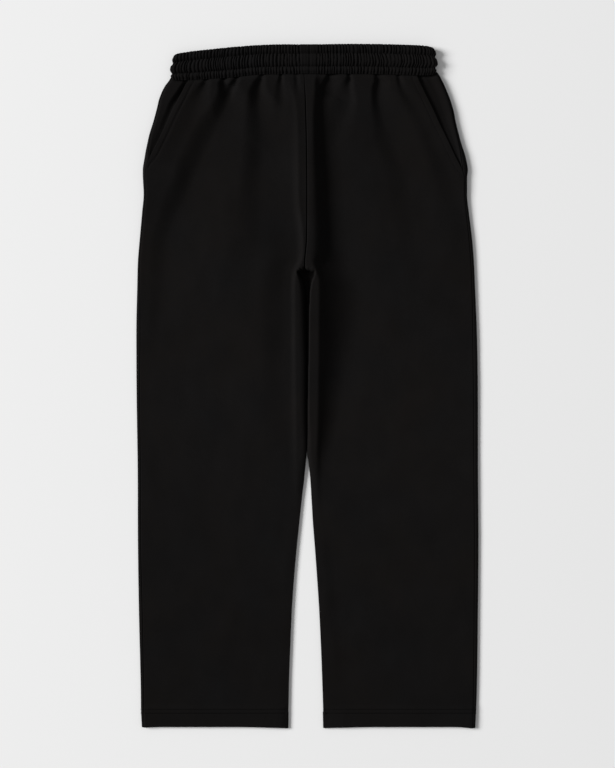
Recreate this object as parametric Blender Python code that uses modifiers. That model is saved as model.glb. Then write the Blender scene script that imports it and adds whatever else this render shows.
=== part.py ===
"""Elastic-waist trousers with a gathered waist, laid flat on their back.

Metres, +Z up. The waist points along +Y, the front faces +Z and the back lies on z = 0. The origin is the
middle of the ground that the garment covers. Left and right are the wearer's, so left is at +X. The tables
are in millimetres: x across the garment, and drop, the distance down from the top of the waistband.
"""

from collections import namedtuple

import bpy
import numpy as np

MM = 0.001

# Driving dimensions, in millimetres
LENGTH = 1038.5  # waistband's top to hem
DROP_AT_ORIGIN = LENGTH / 2
CLOTH = 2.0  # heavy brushed-back jersey
SEAM_GAP = 0.3  # between two pieces that are sewn together
BAND_WALL = 5.0  # two gathered layers of jersey with the elastic between them
BAND_STACK = 13.0  # both halves of the flattened waistband
BAND_PINCH = 1.2  # depth of the two stitched rows that part the casing's channels
HEM_DEPTH = 26.0  # turned-up allowance
HEM_WALL = 2 * CLOTH + 0.1
HEM_TAPER = (3.0, 12.0)  # single cloth beside a fold, and the width over which the hem's full wall comes in
MEETING = 3.3  # height where the front and back cloth meet at a fold
FOLD_REACH = 10.0  # how far the top cloth takes to level out from a side fold
FLOOR_REACH = 4.0  # the same for the cloth under it
UPRIGHT = 1.0  # upright stretch of cloth beside the seam in the legs' inner folds
CROTCH = 343.0
CROTCH_EASE = 0.8  # how far each panel stays off the others where the four meet
FACING_SINK = 3.0  # the pocket facing's outer face lies this far under the front's
FACING_UNDERLAP = 22.0  # hidden strip of facing inside the pocket mouth
FACING_CLEARANCE = 0.9  # between the facing's edge and the side seam
BAND_SEAM_X = 3.0  # the waistband's own join, just left of the centre-front seam

RIGHT, LEFT = -1, 1
WORDS = {RIGHT: "right", LEFT: "left"}

# Each side's outer fold, the back's seam beside it, the front's outer edge (its pocket mouth, and then the
# same seam), and the height of the front cloth
Section = namedtuple(
    "Section", "drop right_fold right_seam right_front left_fold left_seam left_front height"
)
SECTIONS = [
    Section(46, -206.5, -204.5, -178.0, 199.8, 197.8, 166.5, 11.5),
    Section(64, -217.3, -215.1, -186.0, 208.9, 206.7, 175.3, 11.5),
    Section(82, -225.4, -223.2, -194.5, 216.3, 214.1, 184.0, 11.0),
    Section(110, -232.4, -230.2, -207.7, 223.9, 221.7, 196.5, 10.3),
    Section(137, -240.7, -238.1, -221.6, 230.2, 227.4, 209.4, 9.8),
    Section(156, -245.1, -240.8, -231.1, 235.8, 231.3, 218.4, 9.4),
    Section(172, -247.8, -240.8, -239.8, 240.3, 233.3, 226.0, 9.1),
    Section(189, -250.5, -245.4, -245.4, 243.7, 235.0, 235.0, 8.8),
    Section(212, -249.9, -246.5, -246.5, 242.3, 238.7, 238.7, 8.4),
    Section(275, -253.5, -250.3, -250.3, 247.2, 243.4, 243.4, 7.6),
    Section(330, -258.1, -254.9, -254.9, 253.0, 248.6, 248.6, 7.1),
    Section(440, -260.7, -254.7, -254.7, 257.7, 251.6, 251.6, 6.8),
    Section(640, -258.5, -253.9, -253.9, 259.3, 253.2, 253.2, 6.8),
    Section(760, -258.1, -252.9, -252.9, 260.2, 254.4, 254.4, 6.8),
    Section(952, -254.3, -249.9, -249.9, 257.7, 253.2, 253.2, 6.8),
    Section(1003, -253.7, -249.3, -249.3, 256.6, 252.4, 252.4, 7.0),
    Section(1010, -253.6, -249.2, -249.2, 256.3, 252.3, 252.3, 8.8),
    Section(LENGTH, -252.3, -248.7, -248.7, 254.8, 251.4, 251.4, 8.8),
]

# Inner folds of the two legs, and how far the cloth takes to level out from each: a hollow at the crotch,
# where the folds lie almost together and level out slowly, then a slit, then they part
Inner = namedtuple("Inner", "drop right_leg left_leg right_roll left_roll")
INNERS = [
    Inner(343, -4.35, -4.05, 9.0, 7.0),
    Inner(344.5, -4.3, -3.7, 12.0, 10.0),
    Inner(347, -4.0, -3.2, 16.0, 13.0),
    Inner(352, -3.5, -2.4, 16.0, 12.0),
    Inner(360, -2.9, -1.6, 16.0, 9.5),
    Inner(372, -2.4, -0.8, 17.0, 7.0),
    Inner(395, -1.8, 0.2, 18.0, 5.0),
    Inner(440, -1.0, 0.9, 18.0, 4.0),
    Inner(560, -0.4, 0.9, 15.0, 4.5),
    Inner(612, -0.8, 1.1, 13.0, 5.0),
    Inner(650, -6.3, 2.6, 11.0, 6.0),
    Inner(710, -13.3, 7.4, 9.0, 8.0),
    Inner(800, -21.8, 14.2, 9.0, 9.0),
    Inner(900, -27.2, 20.1, 9.0, 9.0),
    Inner(1003, -30.5, 25.4, 9.0, 9.0),
    Inner(LENGTH, -31.2, 26.9, 9.0, 9.0),
]

CentreSeam = namedtuple("CentreSeam", "drop x")
CENTRE_SEAM = [
    CentreSeam(46, -4.9),
    CentreSeam(94, -3.4),
    CentreSeam(160, -1.5),
    CentreSeam(298, -1.9),
    CentreSeam(335, -4.6),
    CentreSeam(343, -4.2),
]

# The waistband's top and bottom edges
BandEdge = namedtuple("BandEdge", "x top bottom")
BAND_EDGES = [
    BandEdge(-206, 17.0, 55.0),
    BandEdge(-186, 12.8, 55.8),
    BandEdge(-150, 9.2, 53.8),
    BandEdge(-110, 5.2, 50.6),
    BandEdge(-70, 1.7, 47.0),
    BandEdge(0, 0.8, 45.8),
    BandEdge(100, 0.2, 46.2),
    BandEdge(150, 1.4, 47.8),
    BandEdge(186, 4.4, 48.2),
    BandEdge(200, 9.0, 47.6),
]
BAND_RIGHT, BAND_LEFT = BAND_EDGES[0].x, BAND_EDGES[-1].x
BAND_LOW = 46.0  # the bottom edge's drop at centre front, where the panels' rows begin
BAND_SLANT_REACH = 150.0  # how far down the panels' rows take to straighten out from it
OUTER_X = 205.0  # where the waistband's edge meets the side folds, to find those rows' drop there

# The casing's face: a share of the way down the band, and how far it lies inside the full stack there
BandFace = namedtuple("BandFace", "share inset")
BAND_FACE = [
    BandFace(0.0, 2.2),
    BandFace(0.05, 0.5),
    BandFace(0.14, 0.0),
    BandFace(0.27, BAND_PINCH),
    BandFace(0.40, 0.1),
    BandFace(0.60, 0.1),
    BandFace(0.725, BAND_PINCH),
    BandFace(0.87, 0.2),
    BandFace(1.0, 1.0),
]

# The long ridge of slack cloth down the centre and along both inner legs
Ridge = namedtuple("Ridge", "drop height right_foot right_crest left_crest left_foot")
RIDGE = [
    Ridge(46, 0.3, -48, -36, 8, 22),
    Ridge(80, 3.0, -44, -23, 10, 24),
    Ridge(120, 4.5, -42, -17, 10, 26),
    Ridge(200, 6.5, -40, -16, 10, 30),
    Ridge(283, 8.0, -36, -11, 13, 40),
    Ridge(343, 9.0, -42, -17, 18, 54),
    Ridge(390, 8.5, -46, -23, 20, 56),
    Ridge(470, 7.0, -44, -21, 20, 46),
    Ridge(560, 4.5, -38, -18, 17, 38),
    Ridge(640, 2.0, -32, -14, 15, 30),
    Ridge(720, 0.0, -30, -12, 14, 28),
]

# Pleats below the waistband: (x, drop) along each, and its half-width and height at its start and its end
Pleat = namedtuple("Pleat", "name path reach_start reach_end height_start height_end")
PLEATS = [
    Pleat("right_hip", ((-154, 50), (-160, 76)), 6, 8, -3.0, 0.0),
    Pleat("right_long", ((-130, 50), (-131, 69), (-151, 113), (-190, 176), (-236, 310)), 9, 17, -4.6, 0.0),
    Pleat("right_middle", ((-72, 50), (-84, 76), (-83, 132), (-88, 222)), 8, 13, -4.6, 0.0),
    Pleat("right_centre", ((-41, 50), (-40, 70), (-44, 120)), 6, 9, -3.0, 0.0),
    Pleat("left_centre", ((32, 48), (18, 62), (17, 84)), 7, 8, -4.0, -1.5),
    Pleat("left_inner", ((60, 48), (59, 64), (44, 106)), 6, 10, -3.4, 0.0),
    Pleat("left_crown", ((70, 52), (71, 96), (72, 140)), 10, 16, 1.0, 0.0),
    Pleat("left_middle", ((102, 48), (102, 88), (123, 150), (138, 236)), 7, 15, -4.6, 0.0),
    Pleat("left_hip", ((135, 48), (145, 80), (178, 150), (197, 200)), 6, 12, -3.2, 0.0),
]

# Where the modelled rows and columns lie
PANEL_ROWS = [46.5, 62, 80, 100, 125, 148, 160, 172, 189, 212, 246, 288, 325, 337, 343, 344.5, 347, 352]
PANEL_ROWS += [360, 378, 410, 490, 600, 650, 710, 800, 900, 1003, 1011, 1013, LENGTH]
FACING_ROWS = {RIGHT: PANEL_ROWS[:7], LEFT: PANEL_ROWS[:8]}
FRONT_COLUMNS = [0, 0.005, 0.03, 0.08, 0.16, 0.24, 0.32, 0.40, 0.48, 0.56, 0.64, 0.72, 0.79, 0.85]
FRONT_COLUMNS += [0.90, 0.94, 0.97, 0.988]
BACK_WRAP = [0, 0.07, 0.25, 0.5, 0.75, 1.0]
BACK_COLUMNS = [0.2, 0.5, 0.8, 0.94, 0.985]
FACING_COLUMNS = [0, 0.03, 0.12, 0.35, 0.6, 0.8, 1.0]
BAND_TOP_STEPS, BAND_END_STEPS, BAND_UNDER_STEPS = 7, 5, 12

# Materials: name, colour and roughness
JERSEY = ("black_jersey", (0.0075, 0.0070, 0.0070, 1.0), 0.9)
CASING = ("black_jersey_casing", (0.0068, 0.0064, 0.0064, 1.0), 0.9)


def through(table, column, at):
    """The table's column at the given places: a cubic curve through its rows that never overshoots them."""
    x = np.array([row[0] for row in table], float)
    y = np.array([getattr(row, column) for row in table], float)
    slope = np.diff(y) / np.diff(x)
    before, after = slope[:-1], slope[1:]
    inner = np.where(
        before * after > 0,
        np.sign(after) * np.minimum(abs(before + after) / 2, 3 * np.minimum(abs(before), abs(after))),
        0.0,
    )
    tangent = np.concatenate([slope[:1], inner, slope[-1:]])
    at = np.clip(at, x[0], x[-1])
    i = np.clip(np.searchsorted(x, at, side="right") - 1, 0, len(x) - 2)
    span = x[i + 1] - x[i]
    t = (at - x[i]) / span
    rise = t * t * (3 - 2 * t)
    lead = t * (1 - t) ** 2
    trail = t * t * (t - 1)
    return y[i] + (y[i + 1] - y[i]) * rise + span * (lead * tangent[i] + trail * tangent[i + 1])


def smoothstep(value):
    """0 below 0, 1 above 1, with a soft start and end."""
    t = np.clip(value, 0.0, 1.0)
    return t * t * (3 - 2 * t)


def rounded(distance, reach):
    """How far a fold has levelled out, as a quarter circle: 0 at the fold and 1 from reach on."""
    t = np.clip(distance / reach, 0.0, 1.0)
    return np.sqrt(1 - (1 - t) ** 2)


def section(side, name, row):
    """x of one of the side's outer lines, for a panel's row: its fold, its seam or its front's edge."""
    return through(SECTIONS, f"{WORDS[side]}_{name}", waist_drop(OUTER_X * side, row))


def inner_fold(side, drop):
    """x of the leg's inner fold."""
    return through(INNERS, f"{WORDS[side]}_leg", drop)


def inner_edge(side, drop):
    """x of a panel's inner edge: the centre seam, and below the crotch the leg's inner fold."""
    seam = through(CENTRE_SEAM, "x", drop) + side * SEAM_GAP / 2
    return np.where(drop > CROTCH, inner_fold(side, drop), seam)


def gap_distance(side, x, drop):
    """Distance from a point to the opening between the legs."""
    beside = np.maximum(side * (x - inner_fold(side, drop)), 0.0)
    return np.hypot(beside, np.maximum(CROTCH - drop, 0.0))


def seam_ease(drop):
    """How far a panel ends from the meeting height: half the seam's gap, and more at the crotch."""
    return SEAM_GAP / 2 + CROTCH_EASE * np.exp(-(((drop - CROTCH) / 3.0) ** 2))


def ridge_height(x, drop):
    """The centre ridge: it climbs from its right foot to its right crest, and falls away on the left."""
    foot, crest, far_crest, far_foot = (
        through(RIDGE, column, drop)
        for column in ("right_foot", "right_crest", "left_crest", "left_foot")
    )
    climb = smoothstep((x - foot) / (crest - foot))
    fall = smoothstep((far_foot - x) / (far_foot - far_crest))
    return through(RIDGE, "height", drop) * np.minimum(climb, fall)


def pleat_height(x, drop, pleat):
    """One pleat: a soft trough or ridge round its path, widening and fading from its start to its end."""
    path = np.array(pleat.path, float)
    legs = np.diff(path, axis=0)
    lengths = np.hypot(legs[:, 0], legs[:, 1])
    starts = np.concatenate([[0.0], np.cumsum(lengths)[:-1]])
    nearest, along = np.full(np.shape(x), np.inf), np.zeros(np.shape(x))
    for (x0, drop0), (dx, dd), length, start in zip(path[:-1], legs, lengths, starts):
        t = np.clip(((x - x0) * dx + (drop - drop0) * dd) / length**2, 0.0, 1.0)
        distance = np.hypot(x - x0 - t * dx, drop - drop0 - t * dd)
        closer = distance < nearest
        nearest = np.where(closer, distance, nearest)
        along = np.where(closer, start + t * length, along)
    share = along / lengths.sum()
    reach = pleat.reach_start + (pleat.reach_end - pleat.reach_start) * share
    height = pleat.height_start + (pleat.height_end - pleat.height_start) * share
    return height * np.exp(-((nearest / reach) ** 2))


def top_surface(side, x, drop):
    """Height of the garment's upper face, rounded down to the meeting height at its folds."""
    height = through(SECTIONS, "height", drop) + ridge_height(x, drop)
    for pleat in PLEATS:
        height = height + pleat_height(x, drop, pleat)
    rolled = rounded(gap_distance(side, x, drop), through(INNERS, f"{WORDS[side]}_roll", drop))
    level = rounded(side * (section(side, "fold", drop) - x), FOLD_REACH) * rolled
    return MEETING + (height - MEETING) * level + seam_ease(drop) * (1 - rolled)


def under_surface(side, x, drop):
    """Height of the garment's lower face: flat on the ground, and curled up beside the legs' inner folds."""
    curled = 1 - rounded(gap_distance(side, x, drop), FLOOR_REACH)
    return (MEETING - seam_ease(drop)) * curled


def waist_drop(x, row):
    """Drop of a panel's row: the top row follows the waistband's edge, and those below it straighten out."""
    lowered = through(BAND_EDGES, "bottom", x) - BAND_LOW
    return row + lowered * (1 - smoothstep((row - BAND_LOW) / BAND_SLANT_REACH))


def to_metres(x, drop, height):
    """Grid of points in metres from millimetre grids."""
    x, drop, height = np.broadcast_arrays(x, drop, height)
    return np.stack([x, DROP_AT_ORIGIN - drop, height], axis=-1) * MM


def inner_columns(side, row, surface, way):
    """x and height of a panel's last two columns: level at the centre seam, upright in the leg's inner fold.

    surface gives the panel's height, and way is 1 on a front panel and -1 on a back one.
    """
    edge = inner_edge(side, row)
    beside = np.where(row < CROTCH, edge + side * UPRIGHT, edge)
    x = np.hstack([beside, edge])
    raised = np.array([[UPRIGHT, 0.0]]) * way
    return x, surface(side, x, row) + np.where(row < CROTCH, 0.0, raised)


def front_grid(side):
    """Outer face of a front panel, a row for each drop, from its outer edge to its inner edge."""
    row = np.array(PANEL_ROWS)[:, None]
    share = np.array(FRONT_COLUMNS)[None, :]
    outer = section(side, "front", row)
    x = outer + (inner_edge(side, row) - outer) * share
    end_x, end_height = inner_columns(side, row, top_surface, 1)
    height = np.hstack([top_surface(side, x, row), end_height])
    x = np.hstack([x, end_x])
    return to_metres(x, waist_drop(x, row), height)


def back_grid(side):
    """Outer face of a back panel: round the side fold from the seam, across the ground, up the inner fold."""
    row = np.array(PANEL_ROWS)[:, None]
    fold = section(side, "fold", row)
    inset = side * (fold - section(side, "seam", row)) - SEAM_GAP
    start = np.arccos(1 - inset / FOLD_REACH)
    angle = start + (-np.pi / 2 - start) * np.array(BACK_WRAP)[None, :]
    reach = np.where(angle > 0, FOLD_REACH, FLOOR_REACH)
    wrap_x = fold - side * reach * (1 - np.cos(angle))
    under = MEETING * (1 + np.sin(np.minimum(angle, 0.0)))
    wrap_height = np.where(angle > 0, top_surface(side, wrap_x, row), under)
    ground_x = fold - side * FLOOR_REACH
    flat_x = ground_x + (inner_edge(side, row) - ground_x) * np.array(BACK_COLUMNS)[None, :]
    end_x, end_height = inner_columns(side, row, under_surface, -1)
    x = np.hstack([wrap_x, flat_x, end_x])
    height = np.hstack([wrap_height, under_surface(side, flat_x, row), end_height])
    return to_metres(x, waist_drop(x, row), height)


def facing_grid(side):
    """Outer face of a pocket facing: from the side seam, across the pocket's mouth and under the front."""
    row = np.array(FACING_ROWS[side])[:, None]
    share = np.array(FACING_COLUMNS)[None, :]
    seam = section(side, "seam", row) - side * FACING_CLEARANCE
    mouth = section(side, "front", row)
    x = seam + (mouth - side * FACING_UNDERLAP - seam) * share
    under_front = smoothstep((x - seam) / (mouth - seam))
    height = top_surface(side, x, row) - FACING_SINK * under_front
    return to_metres(x, waist_drop(x, row), height)


def band_grid():
    """Outer face of the waistband: a row for each share of its face, round the flat loop from its join."""
    radius = BAND_STACK / 2
    flat_left, flat_right = BAND_LEFT - radius, BAND_RIGHT + radius
    quarter = np.pi / 2
    turn = np.linspace(quarter, -quarter, BAND_END_STEPS + 1)[1:-1]
    stretches = [
        (np.linspace(BAND_SEAM_X + SEAM_GAP / 2, flat_left, BAND_TOP_STEPS + 1), quarter),
        (np.full(turn.size, flat_left), turn),
        (np.linspace(flat_left, flat_right, BAND_UNDER_STEPS + 1), -quarter),
        (np.full(turn.size, flat_right), turn[::-1]),
        (np.linspace(flat_right, BAND_SEAM_X - SEAM_GAP / 2, BAND_TOP_STEPS + 1), quarter),
    ]
    centre_x = np.concatenate([centres for centres, _ in stretches])
    angle = np.concatenate([np.broadcast_to(angles, centres.shape) for centres, angles in stretches])
    share = np.array([face.share for face in BAND_FACE])[:, None]
    distance = radius - np.array([face.inset for face in BAND_FACE])[:, None]
    x = centre_x[None, :] + np.sign(centre_x) * distance * np.cos(angle)
    height = radius + distance * np.sin(angle)
    top = through(BAND_EDGES, "top", x)
    drop = top + (through(BAND_EDGES, "bottom", x) - top) * share
    return to_metres(x, drop, height)


def principled(name, colour, roughness):
    """A Principled material with this colour and roughness, made once."""
    material = bpy.data.materials.get(name) or bpy.data.materials.new(name)
    material.use_nodes = True
    shader = material.node_tree.nodes["Principled BSDF"]
    shader.inputs["Base Color"].default_value = colour
    shader.inputs["Roughness"].default_value = roughness
    shader.inputs["Metallic"].default_value = 0.0
    material.diffuse_color = colour
    return material


def hem_shares(grid):
    """1 on the turned-up hem, tapering to 0 beside the folds, where its two layers are pressed together."""
    in_hem = np.array(PANEL_ROWS)[:, None] > LENGTH - HEM_DEPTH
    across = grid[:, :, 0] / MM
    from_right = across - across.min(axis=1, keepdims=True)
    from_left = across.max(axis=1, keepdims=True) - across
    return in_hem * smoothstep((np.minimum(from_right, from_left) - HEM_TAPER[0]) / HEM_TAPER[1])


def cloth_object(name, grid, flip, wall, material, hem=None):
    """An open surface through the grid's points, given its thickness inwards by Solidify.

    flip turns the faces round, so that they point out of the garment. hem gives each point's share of the full
    wall, for a panel whose turned-up hem is thicker than its single cloth.
    """
    rows, columns = grid.shape[:2]
    index = np.arange(rows * columns).reshape(rows, columns)
    quads = np.stack([index[:-1, :-1], index[:-1, 1:], index[1:, 1:], index[1:, :-1]], axis=-1)
    quads = quads.reshape(-1, 4)
    if flip:
        quads = quads[:, ::-1]
    mesh = bpy.data.meshes.new(name)
    mesh.from_pydata(grid.reshape(-1, 3).tolist(), [], quads.tolist())
    mesh.shade_smooth()
    mesh.materials.append(principled(*material))
    made = bpy.data.objects.new(name, mesh)
    garment.objects.link(made)
    solidify = made.modifiers.new("wall", "SOLIDIFY")
    solidify.thickness = wall * MM
    solidify.offset = -1.0
    if hem is not None:
        group = made.vertex_groups.new(name="turned_hem")
        for place, share in enumerate(hem.reshape(-1).tolist()):
            group.add([place], share, "REPLACE")
        solidify.vertex_group = group.name
        solidify.thickness_vertex_group = CLOTH / wall
    return made


for old in list(bpy.data.objects):
    bpy.data.objects.remove(old, do_unlink=True)
garment = bpy.data.collections.new("gathered_trousers")
bpy.context.scene.collection.children.link(garment)

for side, word in WORDS.items():
    front, back = front_grid(side), back_grid(side)
    cloth_object(f"front_{word}", front, side == RIGHT, HEM_WALL, JERSEY, hem_shares(front))
    cloth_object(f"back_{word}", back, side == LEFT, HEM_WALL, JERSEY, hem_shares(back))
    cloth_object(f"pocket_facing_{word}", facing_grid(side), side == RIGHT, CLOTH, JERSEY)
cloth_object("waistband", band_grid(), True, BAND_WALL, CASING)
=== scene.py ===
"""Gathered sweat trousers laid flat on their back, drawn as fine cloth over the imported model's form.

The frame is in metres, with +Z up, the waist along +Y and the front facing +Z. Sizes here are in
millimetres where they don't say metres: x across the garment (the wearer's left is +x), and drop, the
distance down from the top of the waistband. A row is a line of cloth, numbered by its drop where the
waistband's lower edge is highest. A pair of sizes that a side picks from is for the right and the left.
"""
import logging
from dataclasses import dataclass
from enum import Enum
from functools import reduce
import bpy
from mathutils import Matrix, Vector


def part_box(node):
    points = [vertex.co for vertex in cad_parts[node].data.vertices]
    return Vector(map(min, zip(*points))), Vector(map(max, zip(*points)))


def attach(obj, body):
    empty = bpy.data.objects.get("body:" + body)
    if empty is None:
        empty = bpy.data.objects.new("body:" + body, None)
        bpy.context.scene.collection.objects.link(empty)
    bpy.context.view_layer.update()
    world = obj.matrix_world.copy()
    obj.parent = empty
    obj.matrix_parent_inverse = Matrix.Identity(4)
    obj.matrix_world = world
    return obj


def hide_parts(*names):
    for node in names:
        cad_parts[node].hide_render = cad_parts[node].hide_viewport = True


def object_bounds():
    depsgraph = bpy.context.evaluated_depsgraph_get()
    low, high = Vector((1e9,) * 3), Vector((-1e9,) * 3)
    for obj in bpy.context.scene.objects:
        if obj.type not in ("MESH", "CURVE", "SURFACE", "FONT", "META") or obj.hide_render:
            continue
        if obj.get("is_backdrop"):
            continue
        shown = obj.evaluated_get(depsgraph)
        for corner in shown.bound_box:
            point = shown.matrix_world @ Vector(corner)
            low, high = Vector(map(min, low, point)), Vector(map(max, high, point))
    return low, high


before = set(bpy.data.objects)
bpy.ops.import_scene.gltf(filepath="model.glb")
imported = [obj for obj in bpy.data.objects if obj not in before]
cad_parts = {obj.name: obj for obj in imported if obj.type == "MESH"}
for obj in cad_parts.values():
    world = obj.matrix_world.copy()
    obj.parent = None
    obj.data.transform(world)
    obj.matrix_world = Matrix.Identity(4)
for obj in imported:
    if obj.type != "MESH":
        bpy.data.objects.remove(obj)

from types import SimpleNamespace
from typing import NamedTuple, Sequence

import bpy
import numpy as np

LOG = logging.getLogger("trousers")
MM = 0.001
Array = np.ndarray
Piece = bpy.types.Object
Material = bpy.types.Material
Socket = bpy.types.NodeSocket
Pair = tuple[float, float]
Colour = tuple[float, float, float]


# ---- names ----


class Named(Enum):
    """A named option whose name is also a part of the pieces' names."""

    @property
    def word(self) -> str:
        """The name as pieces have it."""
        return self.name.lower()


class Side(Named):
    """The wearer's right or left half, with the sign of its x."""

    RIGHT = -1
    LEFT = 1

    def pick(self, pair: Sequence) -> object:
        """The side's own one of a pair."""
        return pair[self is Side.LEFT]


class Layer(Named):
    """The lower or the upper cloth, with the sign of its face's height."""

    BACK = -1
    FRONT = 1


# ---- curves ----


def smoothstep(value: Array) -> Array:
    """0 below 0 and 1 above 1, as 3t² − 2t³ between them."""
    t = np.clip(value, 0.0, 1.0)
    return t * t * (3 - 2 * t)


def rounded(distance: Array, reach: Array, power: Array = 0.5) -> Array:
    """(1 − (1 − t)²)^power, with t the share of the reach: 0 at a fold, 1 beyond, a quarter circle at ½."""
    t = np.clip(distance / reach, 0.0, 1.0)
    return (1 - (1 - t) ** 2) ** power


def bell(distance: Array, width: float) -> Array:
    """exp(−(distance/width)²)."""
    return np.exp(-((distance / width) ** 2))


def soft_floor(height: Array, least: float, ease: float) -> Array:
    """The height, kept above a least one: least + ease · ln(1 + exp((height − least)/ease))."""
    return least + ease * np.log1p(np.exp((height - least) / ease))


def unit(vectors: Array) -> Array:
    """Each vector over its own length."""
    return vectors / np.maximum(np.linalg.norm(vectors, axis=-1, keepdims=True), 1e-12)


def steps_to_shares(*steps: Sequence[float]) -> Array:
    """Running positions from 0 to 1 along rows of step lengths."""
    place = np.concatenate([[0.0], np.cumsum(np.concatenate(steps))])
    return place / place[-1]


class Ramp(NamedTuple):
    """A smooth rise from 0 to 1 that begins at a start and lasts for a width."""

    start: float
    width: float

    def up(self, at: Array) -> Array:
        """The smoothstep of (at − start)/width."""
        return smoothstep((at - self.start) / self.width)

    def down(self, at: Array) -> Array:
        """1 less the rise."""
        return 1 - self.up(at)


@dataclass(frozen=True)
class Waves:
    """Gentle unevenness: plane waves added up, with seeded directions, phases and lengths."""

    size: float
    seed: int
    count: int
    lengths: Pair
    stretch: float

    def at(self, u: Array, v: Array) -> Array:
        """size/√count · Σ sin(2π(u cos α + v sin α/stretch)/length + phase), with a seeded angle α.

        Args:
            u: First coordinate.
            v: Second coordinate, along which the waves are stretched.

        Returns:
            The sum at each place, about −size to size.
        """
        chance = np.random.default_rng(self.seed)
        angles, phases = chance.uniform(0, np.pi, self.count), chance.uniform(0, 2 * np.pi, self.count)
        total = np.zeros(np.broadcast(u, v).shape)
        for angle, phase, length in zip(angles, phases, chance.uniform(*self.lengths, self.count)):
            across = u * np.cos(angle) + v * np.sin(angle) / self.stretch
            total = total + np.sin(2 * np.pi * across / length + phase)
        return self.size * (total / np.sqrt(self.count))


@dataclass(frozen=True)
class Table:
    """Rows of numbers under named columns, of which the first rises."""

    columns: tuple[str, ...]
    rows: tuple[tuple[float, ...], ...]

    def at(self, column: str, place: Array) -> Array:
        """A cubic curve through one column that never overshoots its rows.

        Between two rows it is a Hermite cubic. A row's slope is the mean of the slopes beside it, at most
        three times the smaller one, and 0 where their signs differ.

        Args:
            column: The column's name.
            place: Places on the first column.

        Returns:
            The column's value at each place. Beyond the rows it keeps its end value.
        """
        x, y = (np.array([row[k] for row in self.rows], float) for k in (0, self.columns.index(column)))
        slope = np.diff(y) / np.diff(x)
        before, after = slope[:-1], slope[1:]
        least = np.minimum(abs(before + after) / 2, 3 * np.minimum(abs(before), abs(after)))
        inner = np.where(before * after > 0, np.sign(after) * least, 0.0)
        tangent = np.concatenate([slope[:1], inner, slope[-1:]])
        place = np.clip(place, x[0], x[-1])
        i = np.clip(np.searchsorted(x, place, side="right") - 1, 0, len(x) - 2)
        span = x[i + 1] - x[i]
        t = (place - x[i]) / span
        bend = t * (1 - t) ** 2 * tangent[i] + t * t * (t - 1) * tangent[i + 1]
        return y[i] + (y[i + 1] - y[i]) * (t * t * (3 - 2 * t)) + span * bend

    def every(self, place: Array) -> SimpleNamespace:
        """Every column's value at each place, by name."""
        return SimpleNamespace(**{name: self.at(name, place) for name in self.columns[1:]})


@dataclass(frozen=True)
class Crease:
    """A soft crease through points of x, drop, depth, fall and rise.

    Going towards +x, the cloth falls by the depth over the width fall, centred on the curve through the
    points, and comes up again over the width rise.
    """

    points: tuple[tuple[float, ...], ...]
    pieces: int = 8
    end_fade: float = 14.0

    def curve(self) -> Array:
        """Fine points along the crease.

        x and drop are ½(2b + (c − a)t + (2a − 5b + 4c − d)t² + (3b − a − 3c + d)t³) between the points b and
        c of a, b, c, d, and depth and widths go straight from b to c.

        Returns:
            A row of five numbers for each place.
        """
        points = np.array(self.points, float)
        last = len(points) - 1
        fine = np.linspace(0, last, self.pieces * last + 1)
        padded = np.vstack([2 * points[0] - points[1], points, 2 * points[-1] - points[-2]])
        i = np.minimum(fine.astype(int), last - 1)
        t = (fine - i)[:, None]
        a, b, c, d = (padded[i + k] for k in range(4))
        square, cube = 2 * a - 5 * b + 4 * c - d, 3 * b - a - 3 * c + d
        curve = 0.5 * (2 * b + (c - a) * t + square * t**2 + cube * t**3)
        curve[:, 2:] = (b + (c - b) * t)[:, 2:]
        return curve

    def depth(self, x: Array, drop: Array) -> Array:
        """How far the crease lowers the cloth.

        With s the signed distance from the curve and S the smoothstep, it is depth · (S(s/fall + ½) −
        S((s − fall/2)/rise)), and past the curve's ends it fades as a bell of the width end_fade.

        Args:
            x: Places across.
            drop: Places down.

        Returns:
            The depth at each place.
        """
        curve = self.curve()
        margin = 1.5 * (curve[:, 3].max() + curve[:, 4].max())
        near = np.ones(x.shape, bool)
        for at, line in ((x, curve[:, 0]), (drop, curve[:, 1])):
            near &= (at > line.min() - margin) & (at < line.max() + margin)
        px, pd = x[near], drop[near]
        best = np.full(px.shape, np.inf)
        signed, where = np.zeros(px.shape), np.zeros(px.shape)
        for k, (start, end) in enumerate(zip(curve[:-1, :2], curve[1:, :2])):
            step = end - start
            dx, dd = px - start[0], pd - start[1]
            along = np.clip((dx * step[0] + dd * step[1]) / (step @ step), 0.0, 1.0)
            distance = np.hypot(dx - along * step[0], dd - along * step[1])
            closer = distance < best
            best = np.where(closer, distance, best)
            signed = np.where(closer, np.sign(step[1] * dx - step[0] * dd) * distance, signed)
            where = np.where(closer, k + along, where)
        depth, fall, rise = (np.interp(where, np.arange(len(curve)), curve[:, k]) for k in (2, 3, 4))
        past = np.maximum(pd - curve[-1, 1], 0.0) + np.maximum(curve[0, 1] - pd, 0.0)
        shape = smoothstep(signed / fall + 0.5) - smoothstep((signed - fall / 2) / rise)
        result = np.zeros(x.shape)
        result[near] = depth * bell(past, self.end_fade) * shape
        return result


def table(columns: str, *rows: tuple[float, ...]) -> Table:
    """A table from its columns' names and its rows."""
    return Table(tuple(columns.split()), rows)


def creases(**lines: tuple[tuple[float, ...], ...]) -> tuple[Crease, ...]:
    """Creases, each named after the pleat or place that it belongs to."""
    return tuple(Crease(points) for points in lines.values())


# ---- tables ----


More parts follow.
